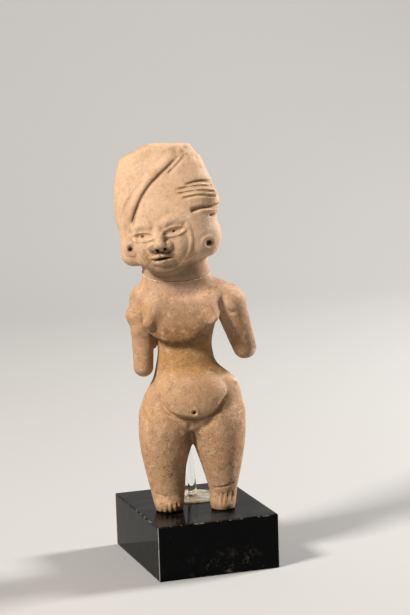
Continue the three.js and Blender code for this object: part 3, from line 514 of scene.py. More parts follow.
def net_surface(values, low, cell):
    """One vertex in each cell that the surface crosses, at the mean of its edge crossings, and one quad
    round each grid edge that it crosses."""
    inside = values < 0
    size = [n - 1 for n in values.shape]
    corners = [(i, j, k) for i in (0, 1) for j in (0, 1) for k in (0, 1)]
    count = np.zeros(size, np.int8)
    for i, j, k in corners:
        count += inside[i:i + size[0], j:j + size[1], k:k + size[2]]
    cells = np.argwhere((count > 0) & (count < 8))
    at = np.stack([values[tuple((cells + c).T)] for c in corners], 1)
    total = np.zeros((len(cells), 3))
    hits = np.zeros(len(cells))
    for a in range(8):
        for b in range(a + 1, 8):
            step = np.array(corners[b]) - np.array(corners[a])
            if np.abs(step).sum() != 1:
                continue
            crossed = (at[:, a] < 0) != (at[:, b] < 0)
            share = np.where(crossed, at[:, a] / np.where(crossed, at[:, a] - at[:, b], 1), 0)
            total += crossed[:, None] * (np.array(corners[a]) + share[:, None] * step)
            hits += crossed
    points = np.array(low) + cell * (cells + total / hits[:, None])
    index = np.full(size, -1)
    index[tuple(cells.T)] = np.arange(len(cells))
    quads = []
    for axis in range(3):
        first, second = (axis + 1) % 3, (axis + 2) % 3
        here = [slice(1, n - 1) for n in values.shape]
        there = list(here)
        here[axis] = slice(0, values.shape[axis] - 1)
        there[axis] = slice(1, values.shape[axis])
        a, b = inside[tuple(here)], inside[tuple(there)]
        for turned, crossing in ((False, a & ~b), (True, ~a & b)):
            cell_at = np.argwhere(crossing)
            cell_at[:, [first, second]] += 1
            ring = []
            for back in ((1, 1), (0, 1), (0, 0), (1, 0)):
                at = cell_at.copy()
                at[:, first] -= back[0]
                at[:, second] -= back[1]
                ring.append(index[tuple(at.T)])
            quads.append(np.stack(ring[::-1] if turned else ring, 1))
    return points, np.concatenate(quads)


def slope(field, points, reach=0.04):
    """Slope of a field by central differences along the three axes."""
    rows = []
    for step in reach * np.eye(3):
        rows.append((field(list((points + step).T)) - field(list((points - step).T))) / (2 * reach))
    return np.stack(rows, 1)


def settled(field, points, most, rounds=2):
    """Points moved onto the field's surface by Newton steps of at most a given length."""
    for _ in range(rounds):
        g = slope(field, points)
        t = field(list(points.T)) / (np.sum(g * g, 1) + 1e-9)
        points = points - np.clip(t, -most, most)[:, None] * g
    return points


def hollows_and_ridges(field, points):
    """How much clay stands in front of each point, and how little behind it, at two reaches: 0 on a flat,
    where the field changes by nearly the whole reach."""
    facing = slope(field, points)
    steep = np.linalg.norm(facing, axis=1) + 1e-9
    facing /= steep[:, None]
    hollow = np.zeros(len(points))
    ridge = np.zeros(len(points))
    flat_before, flat_behind = 0.86, 0.84
    for reach, weight in ((0.45, 0.9), (1.3, 0.8)):
        outer = field(list((points + reach * facing).T)) / (reach * steep)
        inner = field(list((points - reach * facing).T)) / (reach * steep)
        hollow += weight * np.clip(flat_before - outer, 0, 1)
        ridge += weight * np.clip(flat_behind + inner, 0, 1)
    return np.clip(hollow, 0, 1), np.clip(ridge, 0, 1)


def to_place(points):
    """Figure coordinates to metres on the plinth: scaled, turned about Z and set forward."""
    c, s = math.cos(FIGURE_TURN), math.sin(FIGURE_TURN)
    x, y, z = (np.asarray(points) * HUNDREDTH).T
    return np.stack([
        x * c - y * s + FIGURE_FORWARD * s,
        x * s + y * c - FIGURE_FORWARD * c,
        z + FIGURE_LOW.z,
    ], 1)


def from_place(points):
    """Metres on the plinth to figure coordinates, the way back."""
    c, s = math.cos(FIGURE_TURN), math.sin(FIGURE_TURN)
    x, y, z = np.asarray(points).T
    x, y = x - FIGURE_FORWARD * s, y + FIGURE_FORWARD * c
    return np.stack([x * c + y * s, -x * s + y * c, z - FIGURE_LOW.z], 1) / HUNDREDTH


# Meshes


def new_piece(name, points, faces, node, slot, material):
    """A smooth mesh at the origin that rides with the part, takes a node's place and wears one finish."""
    mesh = bpy.data.meshes.new(name)
    mesh.from_pydata(np.asarray(points).tolist(), [], [list(f) for f in faces])
    mesh.shade_smooth()
    mesh.materials.append(material)
    piece = bpy.data.objects.new(name, mesh)
    bpy.context.scene.collection.objects.link(piece)
    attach(piece, "root")
    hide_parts(node)
    return piece


def facing_out(points, faces):
    """Faces of a closed surface, reversed where they would enclose a negative volume."""
    corners = np.array([f if len(f) == 4 else [*f, f[-1]] for f in faces])
    a, b, c, d = (points[corners[:, i]] for i in range(4))
    volume = np.sum(a * (np.cross(b, c) + np.cross(c, d)))
    return [list(f)[::-1] if volume < 0 else list(f) for f in faces]


def grid_quads(rows, columns, rows_meet=False, columns_meet=False):
    """Quads of a grid of points, counted row by row; the last row or column may meet the first again."""
    r = np.arange(rows if rows_meet else rows - 1)[:, None]
    c = np.arange(columns if columns_meet else columns - 1)[None, :]
    r2, c2 = (r + 1) % rows, (c + 1) % columns
    corners = [r * columns + c, r * columns + c2, r2 * columns + c2, r2 * columns + c]
    return np.stack(corners, -1).reshape(-1, 4)


def closed_rows(rows):
    """Points and faces of a grid of closed rows, each end drawn together to one point."""
    n, m = rows.shape[:2]
    points = np.concatenate([rows[:1].mean(1), rows[1:-1].reshape(-1, 3), rows[-1:].mean(1)])
    quads = 1 + grid_quads(n - 2, m, columns_meet=True)
    c, c2 = np.arange(m), (np.arange(m) + 1) % m
    start = np.stack([np.zeros(m, int), 1 + c2, 1 + c], 1)
    end = np.stack([np.full(m, len(points) - 1), 1 + (n - 3) * m + c, 1 + (n - 3) * m + c2], 1)
    return points, facing_out(points, [*quads.tolist(), *start.tolist(), *end.tolist()])


def crosswise(along, steady):
    """Two unit directions square to each unit direction of a path, the first square to a steady one too."""
    side = np.cross(along, steady)
    side /= np.linalg.norm(side, axis=-1, keepdims=True)
    return side, np.cross(side, along)


def spokes(side, up, count):
    """Unit spokes of a circle: cosine of the turn times one direction plus sine times the other."""
    turn = 2 * np.pi * np.arange(count)[:, None] / count
    return np.cos(turn) * side[..., None, :] + np.sin(turn) * up[..., None, :]


def tube_rows(path, radius, sides):
    """Rows of a tube: circles round each point of a path, square to it, each end's circle twice."""
    along = np.gradient(path, axis=0)
    along /= np.linalg.norm(along, axis=1, keepdims=True)
    rows = path[:, None] + radius * spokes(*crosswise(along, (0.0, 0.0, 1.0)), sides)
    return np.concatenate([rows[:1], rows, rows[-1:]])


def joined(parts):
    """Several point and face lists as one."""
    points, faces, start = [], [], 0
    for part_points, part_faces in parts:
        points.append(part_points)
        faces.extend([i + start for i in face] for face in part_faces)
        start += len(part_points)
    return np.concatenate(points), faces


# Shader maths


class Wire:
    """A shader socket that takes part in Python arithmetic: each operator adds one Math node."""

    def __init__(self, finish, socket):
        self.finish = finish
        self.socket = socket

    def math(self, operation, *values):
        """A Math node over sockets or numbers."""
        return self.finish.node(
            "Math", {"operation": operation}, **{f"s{slot}": value for slot, value in enumerate(values)})

    def __add__(self, other):
        return self.math("ADD", self, other)

    __radd__ = __add__

    def __sub__(self, other):
        return self.math("SUBTRACT", self, other)

    def __rsub__(self, other):
        return self.math("SUBTRACT", other, self)

    def __mul__(self, other):
        return self.math("MULTIPLY", self, other)

    __rmul__ = __mul__

    def __abs__(self):
        return self.math("ABSOLUTE", self)

    def least(self, other):
        """The lesser of two values."""
        return self.math("MINIMUM", self, other)

    def most(self, other):
        """The greater of two values."""
        return self.math("MAXIMUM", self, other)

    def eased(self, low, high):
        """Eased share from 0 at low to 1 at high."""
        return self.finish.node(
            "MapRange", {"interpolation_type": "SMOOTHSTEP"}, Value=self, From_Min=low, From_Max=high)


class Finish:
    """A node material on one Principled shader, with one method that makes every other node."""

    def __init__(self, name, **settings):
        self.material = bpy.data.materials.new(name)
        self.material.use_nodes = True
        self.tree = self.material.node_tree
        self.shader = self.tree.nodes["Principled BSDF"]
        for socket, value in settings.items():
            self.shader.inputs[socket.replace("_", " ")].default_value = value
        self.place = self.node("TexCoord", output="Object")

    def node(self, kind, settings=None, output=0, **inputs):
        """A shader node: its own settings first, then the values or links of its sockets."""
        node = self.tree.nodes.new("ShaderNode" + kind)
        for name, value in (settings or {}).items():
            setattr(node, name, value)
        for name, value in inputs.items():
            socket = node.inputs[int(name[1:]) if name[1:].isdigit() else name.replace("_", " ")]
            if isinstance(value, Wire):
                self.tree.links.new(value.socket, socket)
            else:
                socket.default_value = value
        return Wire(self, node.outputs[output])

    def tint(self, share, a, b):
        """Colour a turned towards colour b by a share."""
        a, b = (c if isinstance(c, Wire) else (*c, 1) for c in (a, b))
        return self.node(
            "Mix", {"data_type": "RGBA", "clamp_factor": True}, output=2, s0=share, s6=a, s7=b)

    def noise(self, scale, detail=4.0, rough=0.55, where=None, warp=0.0):
        """Fractal noise from about 0 to 1; scale is in cycles over a metre."""
        return self.node(
            "TexNoise", Vector=where or self.place, Scale=scale, Detail=detail, Roughness=rough,
            Distortion=warp)

    def spots(self, scale):
        """Distance to the nearest of scattered points, in shares of their spacing."""
        return self.node("TexVoronoi", Vector=self.place, Scale=scale)

    def stretched(self, turn, size):
        """Object coordinates turned about the three axes and drawn out, for strokes with a direction."""
        return self.node("Mapping", Vector=self.place, Rotation=turn, Scale=size)

    def axes(self):
        """The three object coordinates as numbers."""
        return [self.node("SeparateXYZ", output=i, Vector=self.place) for i in range(3)]

    def attribute(self, name):
        """A number that the mesh carries at its vertices."""
        return self.node("Attribute", {"attribute_name": name}, output="Fac")

    def feed(self, **sockets):
        """Links to the shader's own sockets."""
        for name, wire in sockets.items():
            self.tree.links.new(wire.socket, self.shader.inputs[name.replace("_", " ")])

    def relief(self, height, distance, strength=1.0):
        """A Bump node over a height from 0 to 1, distance in metres."""
        return self.node("Bump", Height=height, Distance=distance, Strength=strength)


def darker(base, share):
    """A colour brought down to a share of its brightness, a little more in blue."""
    return tuple(c * share ** (1 + 0.12 * i) for i, c in enumerate(base))


# Patches of the clay, some of them painted shade or a painted sheen: centre and half axes in the figure's
# hundredths, and how soft the edge is
PATCHES = {
    "head": ((-5, 0, 85.5), (26, 18, 20), 0.2),
    "legs": ((0.5, -1, 10), (19, 12, 19), 0.5),
    "left arm": ((-13, 0, 45), (5, 6, 11), 0.3),
    "right arm": ((14.5, 2, 46), (6, 7, 9), 0.3),
    # Painted shade on the right side: the back of the right arm, and the right leg
    "right arm's painted shade": ((15.5, 4, 48), (5, 9, 12), 0.5),
    "right leg's painted shade": ((8.5, 0, 10), (5.5, 9, 17), 0.6),
    "chest": ((-2, -6, 52.5), (11, 6, 6.5), 0.5),
    "under the chest": ((-3.4, -6.5, 48.4), (10.5, 5, 3.4), 0.5),
    "collar": ((-1, -3, 60.5), (11, 7, 5.5), 0.35),
    "right shoulder": ((10, 0, 58), (6, 7, 5), 0.35),
    "ear": ((5, -4, 76), (4.5, 6, 7), 0.35),
    "waist": ((-1.5, -3, 43), (10, 9, 5.5), 0.35),
    "temple": ((1.5, -8, 78), (6, 6, 6), 0.35),
    "right hip's scratches and sheen": ((14, -2, 30), (3.2, 7, 8), 0.35),
    "nose and mouth": ((-6.8, -9, 71.4), (4.4, 5, 3.8), 0.45),
    # Painted shadow under the chin, and painted shade in the groin
    "under the chin": ((-5.0, -6, 66.6), (9.5, 7, 2.4), 0.5),
    "groin": ((-0.6, -7, 21.0), (2.6, 4, 4.6), 0.5),
    "arm chip": ((17.2, 1.0, 42.4), (1.0, 2.2, 1.4), 0.35),
    "hip chip": ((12.3, -1.0, 35.4), (0.8, 1.6, 0.6), 0.35),
}
for side, (cx, cz, rx, rz) in zip(("right", "left"), SPOOLS):
    PATCHES[side + " spool"] = ((cx, -6.4, cz), (1.3 * rx, 4, 1.3 * rz), 0.5)


def region(f, ragged, centre, half, soft):
    """Share of an egg-shaped patch with a ragged edge."""
    middle = Vector(to_place([centre])[0])
    size = [h * HUNDREDTH for h in half]
    local = f.node(
        "Mapping", {"vector_type": "TEXTURE"}, Vector=f.place, Location=middle,
        Rotation=(0, 0, FIGURE_TURN), Scale=size)
    reach = f.node("VectorMath", {"operation": "LENGTH"}, output="Value", s0=local)
    return 1 - (reach + ragged).eased(1 - soft, 1 + soft)


def clay_finish(s):
    """Fired clay: buff body, pink bloom, ochre stains, soil and painted shade in hollows, painted shade on
    the chest, under it, under the chin, in the groin and down the right side, a painted sheen on the right
    hip, specks, pale wear on ridges.
    """
    f = Finish("fired_clay", IOR=1.45, Specular_IOR_Level=0.35)
    hollow, ridge = f.attribute("hollow"), f.attribute("ridge")
    broad = f.noise(52.0, 3.0)
    cloud = f.noise(170.0, 5.0, 0.62)
    patch = f.noise(420.0, 4.0, 0.65, warp=0.4)
    grain = f.noise(2100.0, 3.0, 0.6)
    pale = f.noise(520.0, 5.0, 0.7).eased(0.50, 0.70)
    streaks = f.noise(300.0, 4.0, 0.6, f.stretched((0.0, 0.25, 0.0), (0.8, 0.8, 1.7)))
    strokes = f.noise(260.0, 4.0, 0.6, f.stretched((0.0, 0.9, 0.3), (1.0, 1.0, 0.16)))
    specks = (1 - f.spots(760.0).eased(0.05, 0.24)) * f.noise(240.0, 3.0).eased(0.40, 0.58)
    flecks = f.noise(950.0, 3.0, 0.65, warp=0.8).eased(0.58, 0.66) * cloud.eased(0.36, 0.56)
    ragged = (cloud - 0.5) * 0.7

    def on(*names, edge=ragged):
        """Share of some patches: the greatest of theirs."""
        share, *others = (region(f, edge, *PATCHES[name]) for name in names)
        for other in others:
            share = share.most(other)
        return share

    body, legs = 1 - on("head"), on("legs")
    limbs = legs.most(on("left arm", "right arm"))
    painted_right_shade = on("right arm's painted shade").most(on("right leg's painted shade") * 0.5)
    bloom = on("collar", "right shoulder", "ear")
    # Pale film on the temple; on the right hip a painted sheen over pale scratches
    film_and_sheen = on("temple", "right hip's scratches and sheen")
    chips = on("arm chip", "hip chip", edge=ragged * 0.6)
    spools = on("right spool", "left spool")
    # Coats of colour from the ground up: how much of each, and its colour
    coats = (
        (broad.eased(0.38, 0.66) * 0.4, darker(s.clay, 0.8)),
        (body * (0.75 + broad.eased(0.4, 0.6) * 0.25), s.body),
        (limbs * (0.35 + cloud * 0.4), s.shade),
        # Painted shade down the right arm and the right leg, on the side turned from the key light
        (painted_right_shade * 0.6, darker(s.shade, 0.6)),
        # Painted shade on the chest, in a darker copy of the body colour
        (on("chest") * (0.4 + cloud * 0.5), darker(s.body, 0.58)),
        (bloom * cloud.eased(0.36, 0.62) * 0.6, s.bloom),
        (on("waist") * (0.35 + streaks.eased(0.40, 0.60) * 0.35 + cloud.eased(0.4, 0.6) * 0.3), s.ochre),
        # Under the chest's overhang: a dark ochre stain and a painted shadow
        (on("under the chest") * (0.5 + patch.eased(0.4, 0.6) * 0.45), darker(s.ochre, 0.5)),
        (strokes.eased(0.54, 0.70) * 0.36, darker(s.clay, 0.5)),
        (cloud.eased(0.50, 0.66) * (0.18 + legs * 0.4), s.rust),
        (patch.eased(0.52, 0.66) * (0.2 + body * 0.22 + legs * 0.1), darker(s.clay, 0.36)),
        # Pale clay, more on the body; a pale film on the temple and a painted sheen on the right hip
        (pale * (0.18 + body * 0.1 + film_and_sheen * 0.36), s.worn),
        (grain.eased(0.52, 0.66) * cloud.eased(0.38, 0.6) * (0.2 + legs * 0.5), darker(s.clay, 0.25)),
        ((1 - grain.eased(0.34, 0.46)) * 0.12, s.worn),
        (specks.most(flecks * 0.8) * (0.14 + body * 0.28 + legs * 0.5), s.soil_and_shade),
        (on("nose and mouth") * patch.eased(0.42, 0.58) * 0.75, s.soil_and_shade),
        (spools * cloud.eased(0.35, 0.6) * 0.55, s.soil_and_shade),
        # Painted shadow under the chin, with some soil, and painted shade in the groin between the thighs
        (on("groin", "under the chin") * 0.45, s.soil_and_shade),
        (ridge * (0.15 + pale * 0.5), s.worn),
        (chips * 0.5, s.worn),
        # Painted shade in the hollows, from the hollow attribute, darker where the cloud noise is high, with
        # some soil
        (hollow * (0.15 + cloud * 0.6), s.soil_and_shade),
    )
    tone = s.clay
    for share, coat in coats:
        tone = f.tint(share, tone, coat)

    pits = f.spots(1300.0).eased(0.06, 0.3)
    height = pits * 0.4 + grain * 0.35 + patch * 0.5 + strokes * 0.4
    f.feed(
        Base_Color=tone,
        Roughness=0.55 + cloud * 0.3 + hollow * 0.2,
        Normal=f.relief(height, 0.0003, 0.75))
    return f.material


def lacquer_finish(s):
    """Black lacquer: mirror gloss, smudged on top, rubbed at the edges, with a pale line down the upright
    edges that is partly rubbed wear and partly a painted highlight, dusty and scuffed low in front.
    """
    f = Finish("black_lacquer", IOR=1.4, Specular_IOR_Level=0.045)
    x, y, z = f.axes()
    to_x = PLINTH_HIGH.x - abs(x)
    to_y = PLINTH_HIGH.y - abs(y)
    to_top = PLINTH_TOP - z
    to_foot = z - PLINTH_LOW.z
    to_z = to_top.least(to_foot)
    to_edge = to_x.least(to_y).most(to_x.most(to_y).least(to_z))
    smudge = f.noise(85.0, 4.0, 0.62, warp=0.6)
    rub = f.noise(420.0, 4.0, 0.65)
    worn = (1 - to_edge.eased(0.00012, 0.0005)) * rub.eased(0.52, 0.66)
    dots = (1 - f.spots(900.0).eased(0.05, 0.13)) * f.noise(160.0, 3.0).eased(0.52, 0.66)
    scuff = f.noise(300.0, 6.0, 0.8).eased(0.52, 0.72)
    low_front = (1 - to_foot.eased(0.002, 0.0115)) * (1 - to_y.eased(0.0006, 0.002))
    middle = 1 - abs(x - 0.002).eased(0.005, 0.014)
    scuffed = scuff * low_front * (0.1 + middle * 0.75)
    # Pale line down the four upright edges: rubbed wear and a painted highlight
    upright_edge_wear_and_highlight = (1 - to_x.most(to_y).eased(0.00012, 0.00036)) * (0.4 + rub * 0.6)
    on_top = 1 - to_top.eased(0.0001, 0.0004)
    haze = on_top * smudge.eased(0.46, 0.7)
    tone = f.tint(haze * 0.035, s.lacquer, s.dust_and_highlight)
    tone = f.tint((dots * 0.35).most(worn * 0.45).most(scuffed * 0.34).most(upright_edge_wear_and_highlight), tone, s.dust_and_highlight)
    f.feed(
        Base_Color=tone,
        Roughness=0.07 + haze * 0.22 + worn * 0.3 + scuffed * 0.4,
        Normal=f.relief(f.noise(60.0, 2.0) + scuffed * 0.02, 0.0004, 0.25))
    return f.material


def acrylic_finish():
    """Clear acrylic, water clear and polished, with a few dull marks."""
    f = Finish("clear_acrylic", IOR=1.49, Transmission_Weight=1.0, Base_Color=(0.96, 0.98, 0.98, 1))
    f.feed(Roughness=0.012 + f.noise(500.0, 3.0).eased(0.62, 0.8) * 0.08)
    return f.material


def adhesive_finish(s):
    """Set adhesive, milky and half clear, yellowed in patches."""
    f = Finish("adhesive", IOR=1.48, Transmission_Weight=0.5)
    cloud = f.noise(240.0, 3.0, 0.5)
    tone = f.tint(cloud.eased(0.44, 0.66), s.adhesive, s.amber)
    tone = f.tint(f.noise(330.0, 2.0).eased(0.52, 0.66) * 0.8, tone, s.milk)
    f.feed(
        Base_Color=tone,
        Roughness=0.06 + cloud * 0.2,
        Normal=f.relief(f.noise(420.0, 2.0), 0.0002, 0.5))
    return f.material


def nylon_finish():
    """Fine clear nylon, a little dusty."""
    f = Finish("nylon", IOR=1.5, Transmission_Weight=0.25, Base_Color=(0.78, 0.6, 0.47, 1))
    f.feed(Roughness=0.15 + f.noise(900.0, 2.0) * 0.3)
    return f.material


# Operators


GRID_LOW, GRID_HIGH = (-21.5, -12.5, -1.0), (20.5, 12.5, 101.5)


class MakeFigure(bpy.types.Operator):
    """Carve the clay figure"""

    bl_idname = "clay_figure.figure"
    bl_label = "Clay figure"

    def execute(self, context):
        """Net the field near its surface, settle it, and mark hollows and ridges for the finish."""
        settings = settings_of("clay_figure")
        cell = settings.cell / HUNDREDTH * 1.0
        uneven = settings.unevenness / HUNDREDTH

        def field(p):
            return clay(p, uneven)

        values, low = banded_field(field, GRID_LOW, GRID_HIGH, cell)
        points, faces = net_surface(values, low, cell)
        points = settled(field, points, 0.5 * cell)
        points[:, 2] = np.clip(points[:, 2], 0, 100)
        hollow, ridge = hollows_and_ridges(field, points)
        piece = new_piece(
            "clay_figurine", to_place(points), faces, "figurine", "fired_clay", clay_finish(settings))
        for name, value in (("hollow", hollow), ("ridge", ridge)):
            layer = piece.data.attributes.new(name, "FLOAT", "POINT")
            layer.data.foreach_set("value", value.astype(np.float32))
        return {"FINISHED"}


# Length of a chip in the block's edge, in metres
CHIP_SIZE = 0.0016


def rounded_block(low, high, radius, spacing, chip):
    """Block with round edges: each point of a box's face is drawn to the face of the core, then pushed out
    by the radius along its direction from the core; chips push edge points back in where noise is high."""
    low, high = np.array(low), np.array(high)
    border = radius * np.tan(np.radians([0, 11.25, 22.5, 33.75, 45]))
    marks = []
    for a, b in zip(low, high):
        flat = np.linspace(a + radius, b - radius, int((b - a) / spacing))[1:-1]
        marks.append(np.concatenate([a + radius - border[::-1], flat, b - radius + border]))
    points, faces, start = [], [], 0
    for axis in range(3):
        i, j = (axis + 1) % 3, (axis + 2) % 3
        for at, flip in ((low[axis], True), (high[axis], False)):
            a, b = np.meshgrid(marks[i], marks[j], indexing="ij")
            face = np.empty((*a.shape, 3))
            face[..., axis], face[..., i], face[..., j] = at, a, b
            points.append(face.reshape(-1, 3))
            quads = grid_quads(*a.shape)[:, [0, 3, 2, 1]]
            faces.append(start + (quads[:, ::-1] if flip else quads))
            start += a.size
    points = np.concatenate(points)
    core = np.clip(points, low + radius, high - radius)
    out = points - core
    out /= np.linalg.norm(out, axis=1, keepdims=True)
    points = core + radius * out
    cornered = ease(1 - np.abs(out).max(1), 0.02, 0.2)
    worn = np.clip(lattice(list(points.T), CHIP_SIZE, 3.0) - 0.25, 0, 1)
    points -= out * (chip * cornered * worn)[:, None]
    kept, index = np.unique(np.round(points, 7), axis=0, return_inverse=True)
    return kept, facing_out(kept, index.ravel()[np.concatenate(faces)].tolist())


class MakePlinth(bpy.types.Operator):
    """Make the lacquered block"""

    bl_idname = "clay_figure.plinth"
    bl_label = "Plinth"

    def execute(self, context):
        """A round-edged block in the plinth's own box, its edges a little chipped."""
        settings = settings_of("clay_plinth")
        points, faces = rounded_block(
            PLINTH_LOW, PLINTH_HIGH, settings.edge, spacing=0.001, chip=0.0002)
        new_piece("plinth_block", points, faces, "plinth", "black_lacquer", lacquer_finish(settings))
        return {"FINISHED"}


def rod_ends():
    """The middles of the rod's two ends, from its own corners below and above its middle height."""
    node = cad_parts["support_rod"]
    flat = np.empty(3 * len(node.data.vertices))
    node.data.vertices.foreach_get("co", flat)
    turned = np.array(node.matrix_world)
    corners = flat.reshape(-1, 3) @ turned[:3, :3].T + turned[:3, 3]
    corners = np.unique(np.round(corners, 6), axis=0)
    lower = corners[:, 2] < 0.5 * (corners[:, 2].min() + corners[:, 2].max())
    return corners[lower].mean(0), corners[~lower].mean(0)


# The rod's lower end stands this far above the plinth, in metres
ROD_LIFT = 0.0001
ROD_SIDES = 40


def rod_surface(diameter):
    """Straight tube from the plinth's top, its upper edge eased over a tenth of its diameter."""
    low, high = rod_ends()
    low = low + (high - low) * (PLINTH_TOP + ROD_LIFT - low[2]) / (high[2] - low[2])
    along = high - low
    rod_length = np.linalg.norm(along)
    ease_share = 0.1 * diameter / rod_length
    shares = np.array([0, 0, *np.linspace(0.02, 0.98, 24), 1 - ease_share, 1 - 0.3 * ease_share, 1, 1])
    radii = 0.5 * diameter * np.array([*np.ones(27), 0.96, 0.8, 0.8])
    ring = spokes(*crosswise(along / rod_length, (0.0, 1.0, 0.0)), ROD_SIDES)
    return closed_rows(low + along * shares[:, None, None] + radii[:, None, None] * ring)


# Waves of the puddle's rim: how many, how high as a share of its radius, and where they start
LOBES = ((2, 0.02, 0.7), (3, 0.015, 2.1), (5, 0.01, 4.0))
# Heights of its underside and of its outermost skin above the plinth, in metres
UNDER_LIFT, SKIN_LIFT = 0.00002, 0.00004


def puddle_surface():
    """Domed puddle: rim radius with two, three and five lobes, a bead at the rim, a rise to the rod."""
    middle = 0.5 * (np.array(PUDDLE_LOW) + np.array(PUDDLE_HIGH))
    radius = 0.5 * (PUDDLE_HIGH.x - PUDDLE_LOW.x)
    height = PUDDLE_HIGH.z - PLINTH_TOP
    turn = 2 * np.pi * np.arange(120) / 120
    lobes = 1 - sum(size for _, size, _ in LOBES)
    for count, size, start in LOBES:
        lobes = lobes + size * np.cos(count * turn + start)
    shares = np.concatenate([np.linspace(0, 0.9, 30), 1 - 0.1 * (1 - np.linspace(0, 1, 9)[1:]) ** 2])
    bead = 0.42 * np.sqrt(np.clip(1 - shares**10, 0, 1)) + 0.14 * bell(shares - 0.88, 0.16)
    climb = 0.5 * np.exp(-np.clip(shares * radius - 0.0016, 0, None) / 0.0011)
    rise = (height * np.clip(bead + climb, 0, 0.97))[:, None]
    x = middle[0] + radius * shares[:, None] * lobes * np.cos(turn)
    y = middle[1] + radius * shares[:, None] * lobes * np.sin(turn)
    wave = 0.06 * height * lattice([x / 0.0021, y / 0.0021, 0 * x], 1.0, 2.0) * (1 - shares[:, None] ** 6)
    top = np.stack([x, y, PLINTH_TOP + SKIN_LIFT + np.minimum(rise + wave, 0.97 * height)], -1)
    under = top[::-4].copy()
    under[..., 2] = PLINTH_TOP + UNDER_LIFT
    return closed_rows(np.concatenate([top, under]))


# The thread's plane in the figure's hundredths: height at its middle, rise to the back, middle
THREAD_SIDE_HEIGHT, THREAD_SLANT = 65.6, 0.4
THREAD_MIDDLE = np.array([-3.0, 0.5])
# The search for the skin starts this far out and takes this share of the way in each step
SEARCH_FROM, SEARCH_SHARE, SEARCH_STEPS = 22.0, 0.6, 80
# Which way from the middle of the loop the knot lies, and which way its cut end points
KNOT_TOWARDS, TAIL_TOWARDS = np.array([0.62, 0.78, 0.0]), np.array([0.98, -0.10, 0.13])
KNOT_TURNS = 2.5


def thread_loop(gap):
    """Taut loop on a slanted plane: the way in from all round to the skin, with the rod's circle, drawn
    tight by taking the farthest point in each direction."""
    turn = 2 * np.pi * np.arange(360) / 360
    ways = np.stack([np.cos(turn), np.sin(turn)], 1)
    uneven = settings_of("clay_figure").unevenness / HUNDREDTH
    outer = np.full(len(turn), SEARCH_FROM)
    for _ in range(SEARCH_STEPS):
        x, y = (THREAD_MIDDLE + outer[:, None] * ways).T
        height = THREAD_SIDE_HEIGHT + THREAD_SLANT * y
        outer = outer - SEARCH_SHARE * (clay([x, y, height], uneven) - gap)
    skin = THREAD_MIDDLE + outer[:, None] * ways
    low, high = from_place(np.stack(rod_ends()))
    height = THREAD_SIDE_HEIGHT + THREAD_SLANT * high[1]
    rod = low + (high - low) * (height - low[2]) / (high[2] - low[2])
    reach = 0.5 * settings_of("clay_holder").rod_diameter / HUNDREDTH + gap
    cloud = np.concatenate([skin, rod[:2] + reach * ways])
    fine = np.linspace(0, 2 * np.pi, 1440, endpoint=False)
    best = np.argmax(cloud @ np.stack([np.cos(fine), np.sin(fine)]), 0)
    corners = cloud[best[best != np.roll(best, 1)]]
    closed = np.concatenate([corners, corners[:1]])
    at = np.concatenate([[0], np.cumsum(np.linalg.norm(np.diff(closed, axis=0), axis=1))])
    even = np.linspace(0, at[-1], 261)[:-1]
    x, y = (np.interp(even, at, closed[:, i]) for i in (0, 1))
    loop = np.stack([x, y, THREAD_SIDE_HEIGHT + THREAD_SLANT * y], 1)
    return (loop + np.roll(loop, 1, 0) + np.roll(loop, -1, 0)) / 3


def thread_surface(diameter, tail_length):
    """The loop as a closed tube, a knot of two and a half turns round it behind the neck, and a cut end."""
    radius = 0.5 * diameter
    loop = to_place(thread_loop(radius / HUNDREDTH))
    n, sides = len(loop), 8
    ahead = np.roll(loop, -1, 0) - np.roll(loop, 1, 0)
    ahead /= np.linalg.norm(ahead, axis=1, keepdims=True)
    side, up = crosswise(ahead, (0.0, 0.0, 1.0))
    ring = (loop[:, None] + radius * spokes(side, up, sides)).reshape(-1, 3)
    quads = grid_quads(n, sides, rows_meet=True, columns_meet=True)
    knot_at = int(np.argmax((loop - loop.mean(0)) @ KNOT_TOWARDS))
    knot = loop[knot_at]
    wound = np.linspace(0, 2 * np.pi * KNOT_TURNS, 60)[:, None]
    coil = knot + ahead[knot_at] * (wound / wound[-1] - 0.5) * 3.4 * diameter
    coil = coil + 1.5 * radius * (np.cos(wound) * side[knot_at] + np.sin(wound) * up[knot_at])
    t = np.linspace(0, 1, 24)[:, None]
    tail = knot + TAIL_TOWARDS * tail_length * t + np.array([0, 0, 0.08 * tail_length]) * t * (1 - t)
    tubes = [closed_rows(tube_rows(path, radius, sides)) for path in (coil, tail)]
    return joined([(ring, facing_out(ring, quads.tolist())), *tubes])


class MakeHolder(bpy.types.Operator):
    """Make the clear rod, its puddle of adhesive and the thread"""

    bl_idname = "clay_figure.holder"
    bl_label = "Rod and thread"

    def execute(self, context):
        """The rod, the puddle it stands in, and the thread that ties the neck to it."""
        s = settings_of("clay_holder")
        rod = rod_surface(s.rod_diameter)
        new_piece("acrylic_rod", *rod, "support_rod", "clear_acrylic", acrylic_finish())
        new_piece("adhesive_puddle", *puddle_surface(), "rod_foot", "adhesive", adhesive_finish(s))
        thread = thread_surface(s.thread_diameter, s.thread_tail)
        new_piece("nylon_thread", *thread, "neck_thread", "nylon", nylon_finish())
        return {"FINISHED"}


# Lights: name, metres to the front, to the right and up, size in metres, colour; and where they look
LIGHTS = (
    ("key", 0.62, -0.74, 0.9, 0.25, (1, 0.95, 0.88)),
    ("rim", -0.35, 0.75, 0.5, 0.2, (1, 0.98, 0.96)),
)
LIT_POINT = Vector((0, 0, 0.08))
SKY_TONE = (1, 0.985, 0.965, 1)


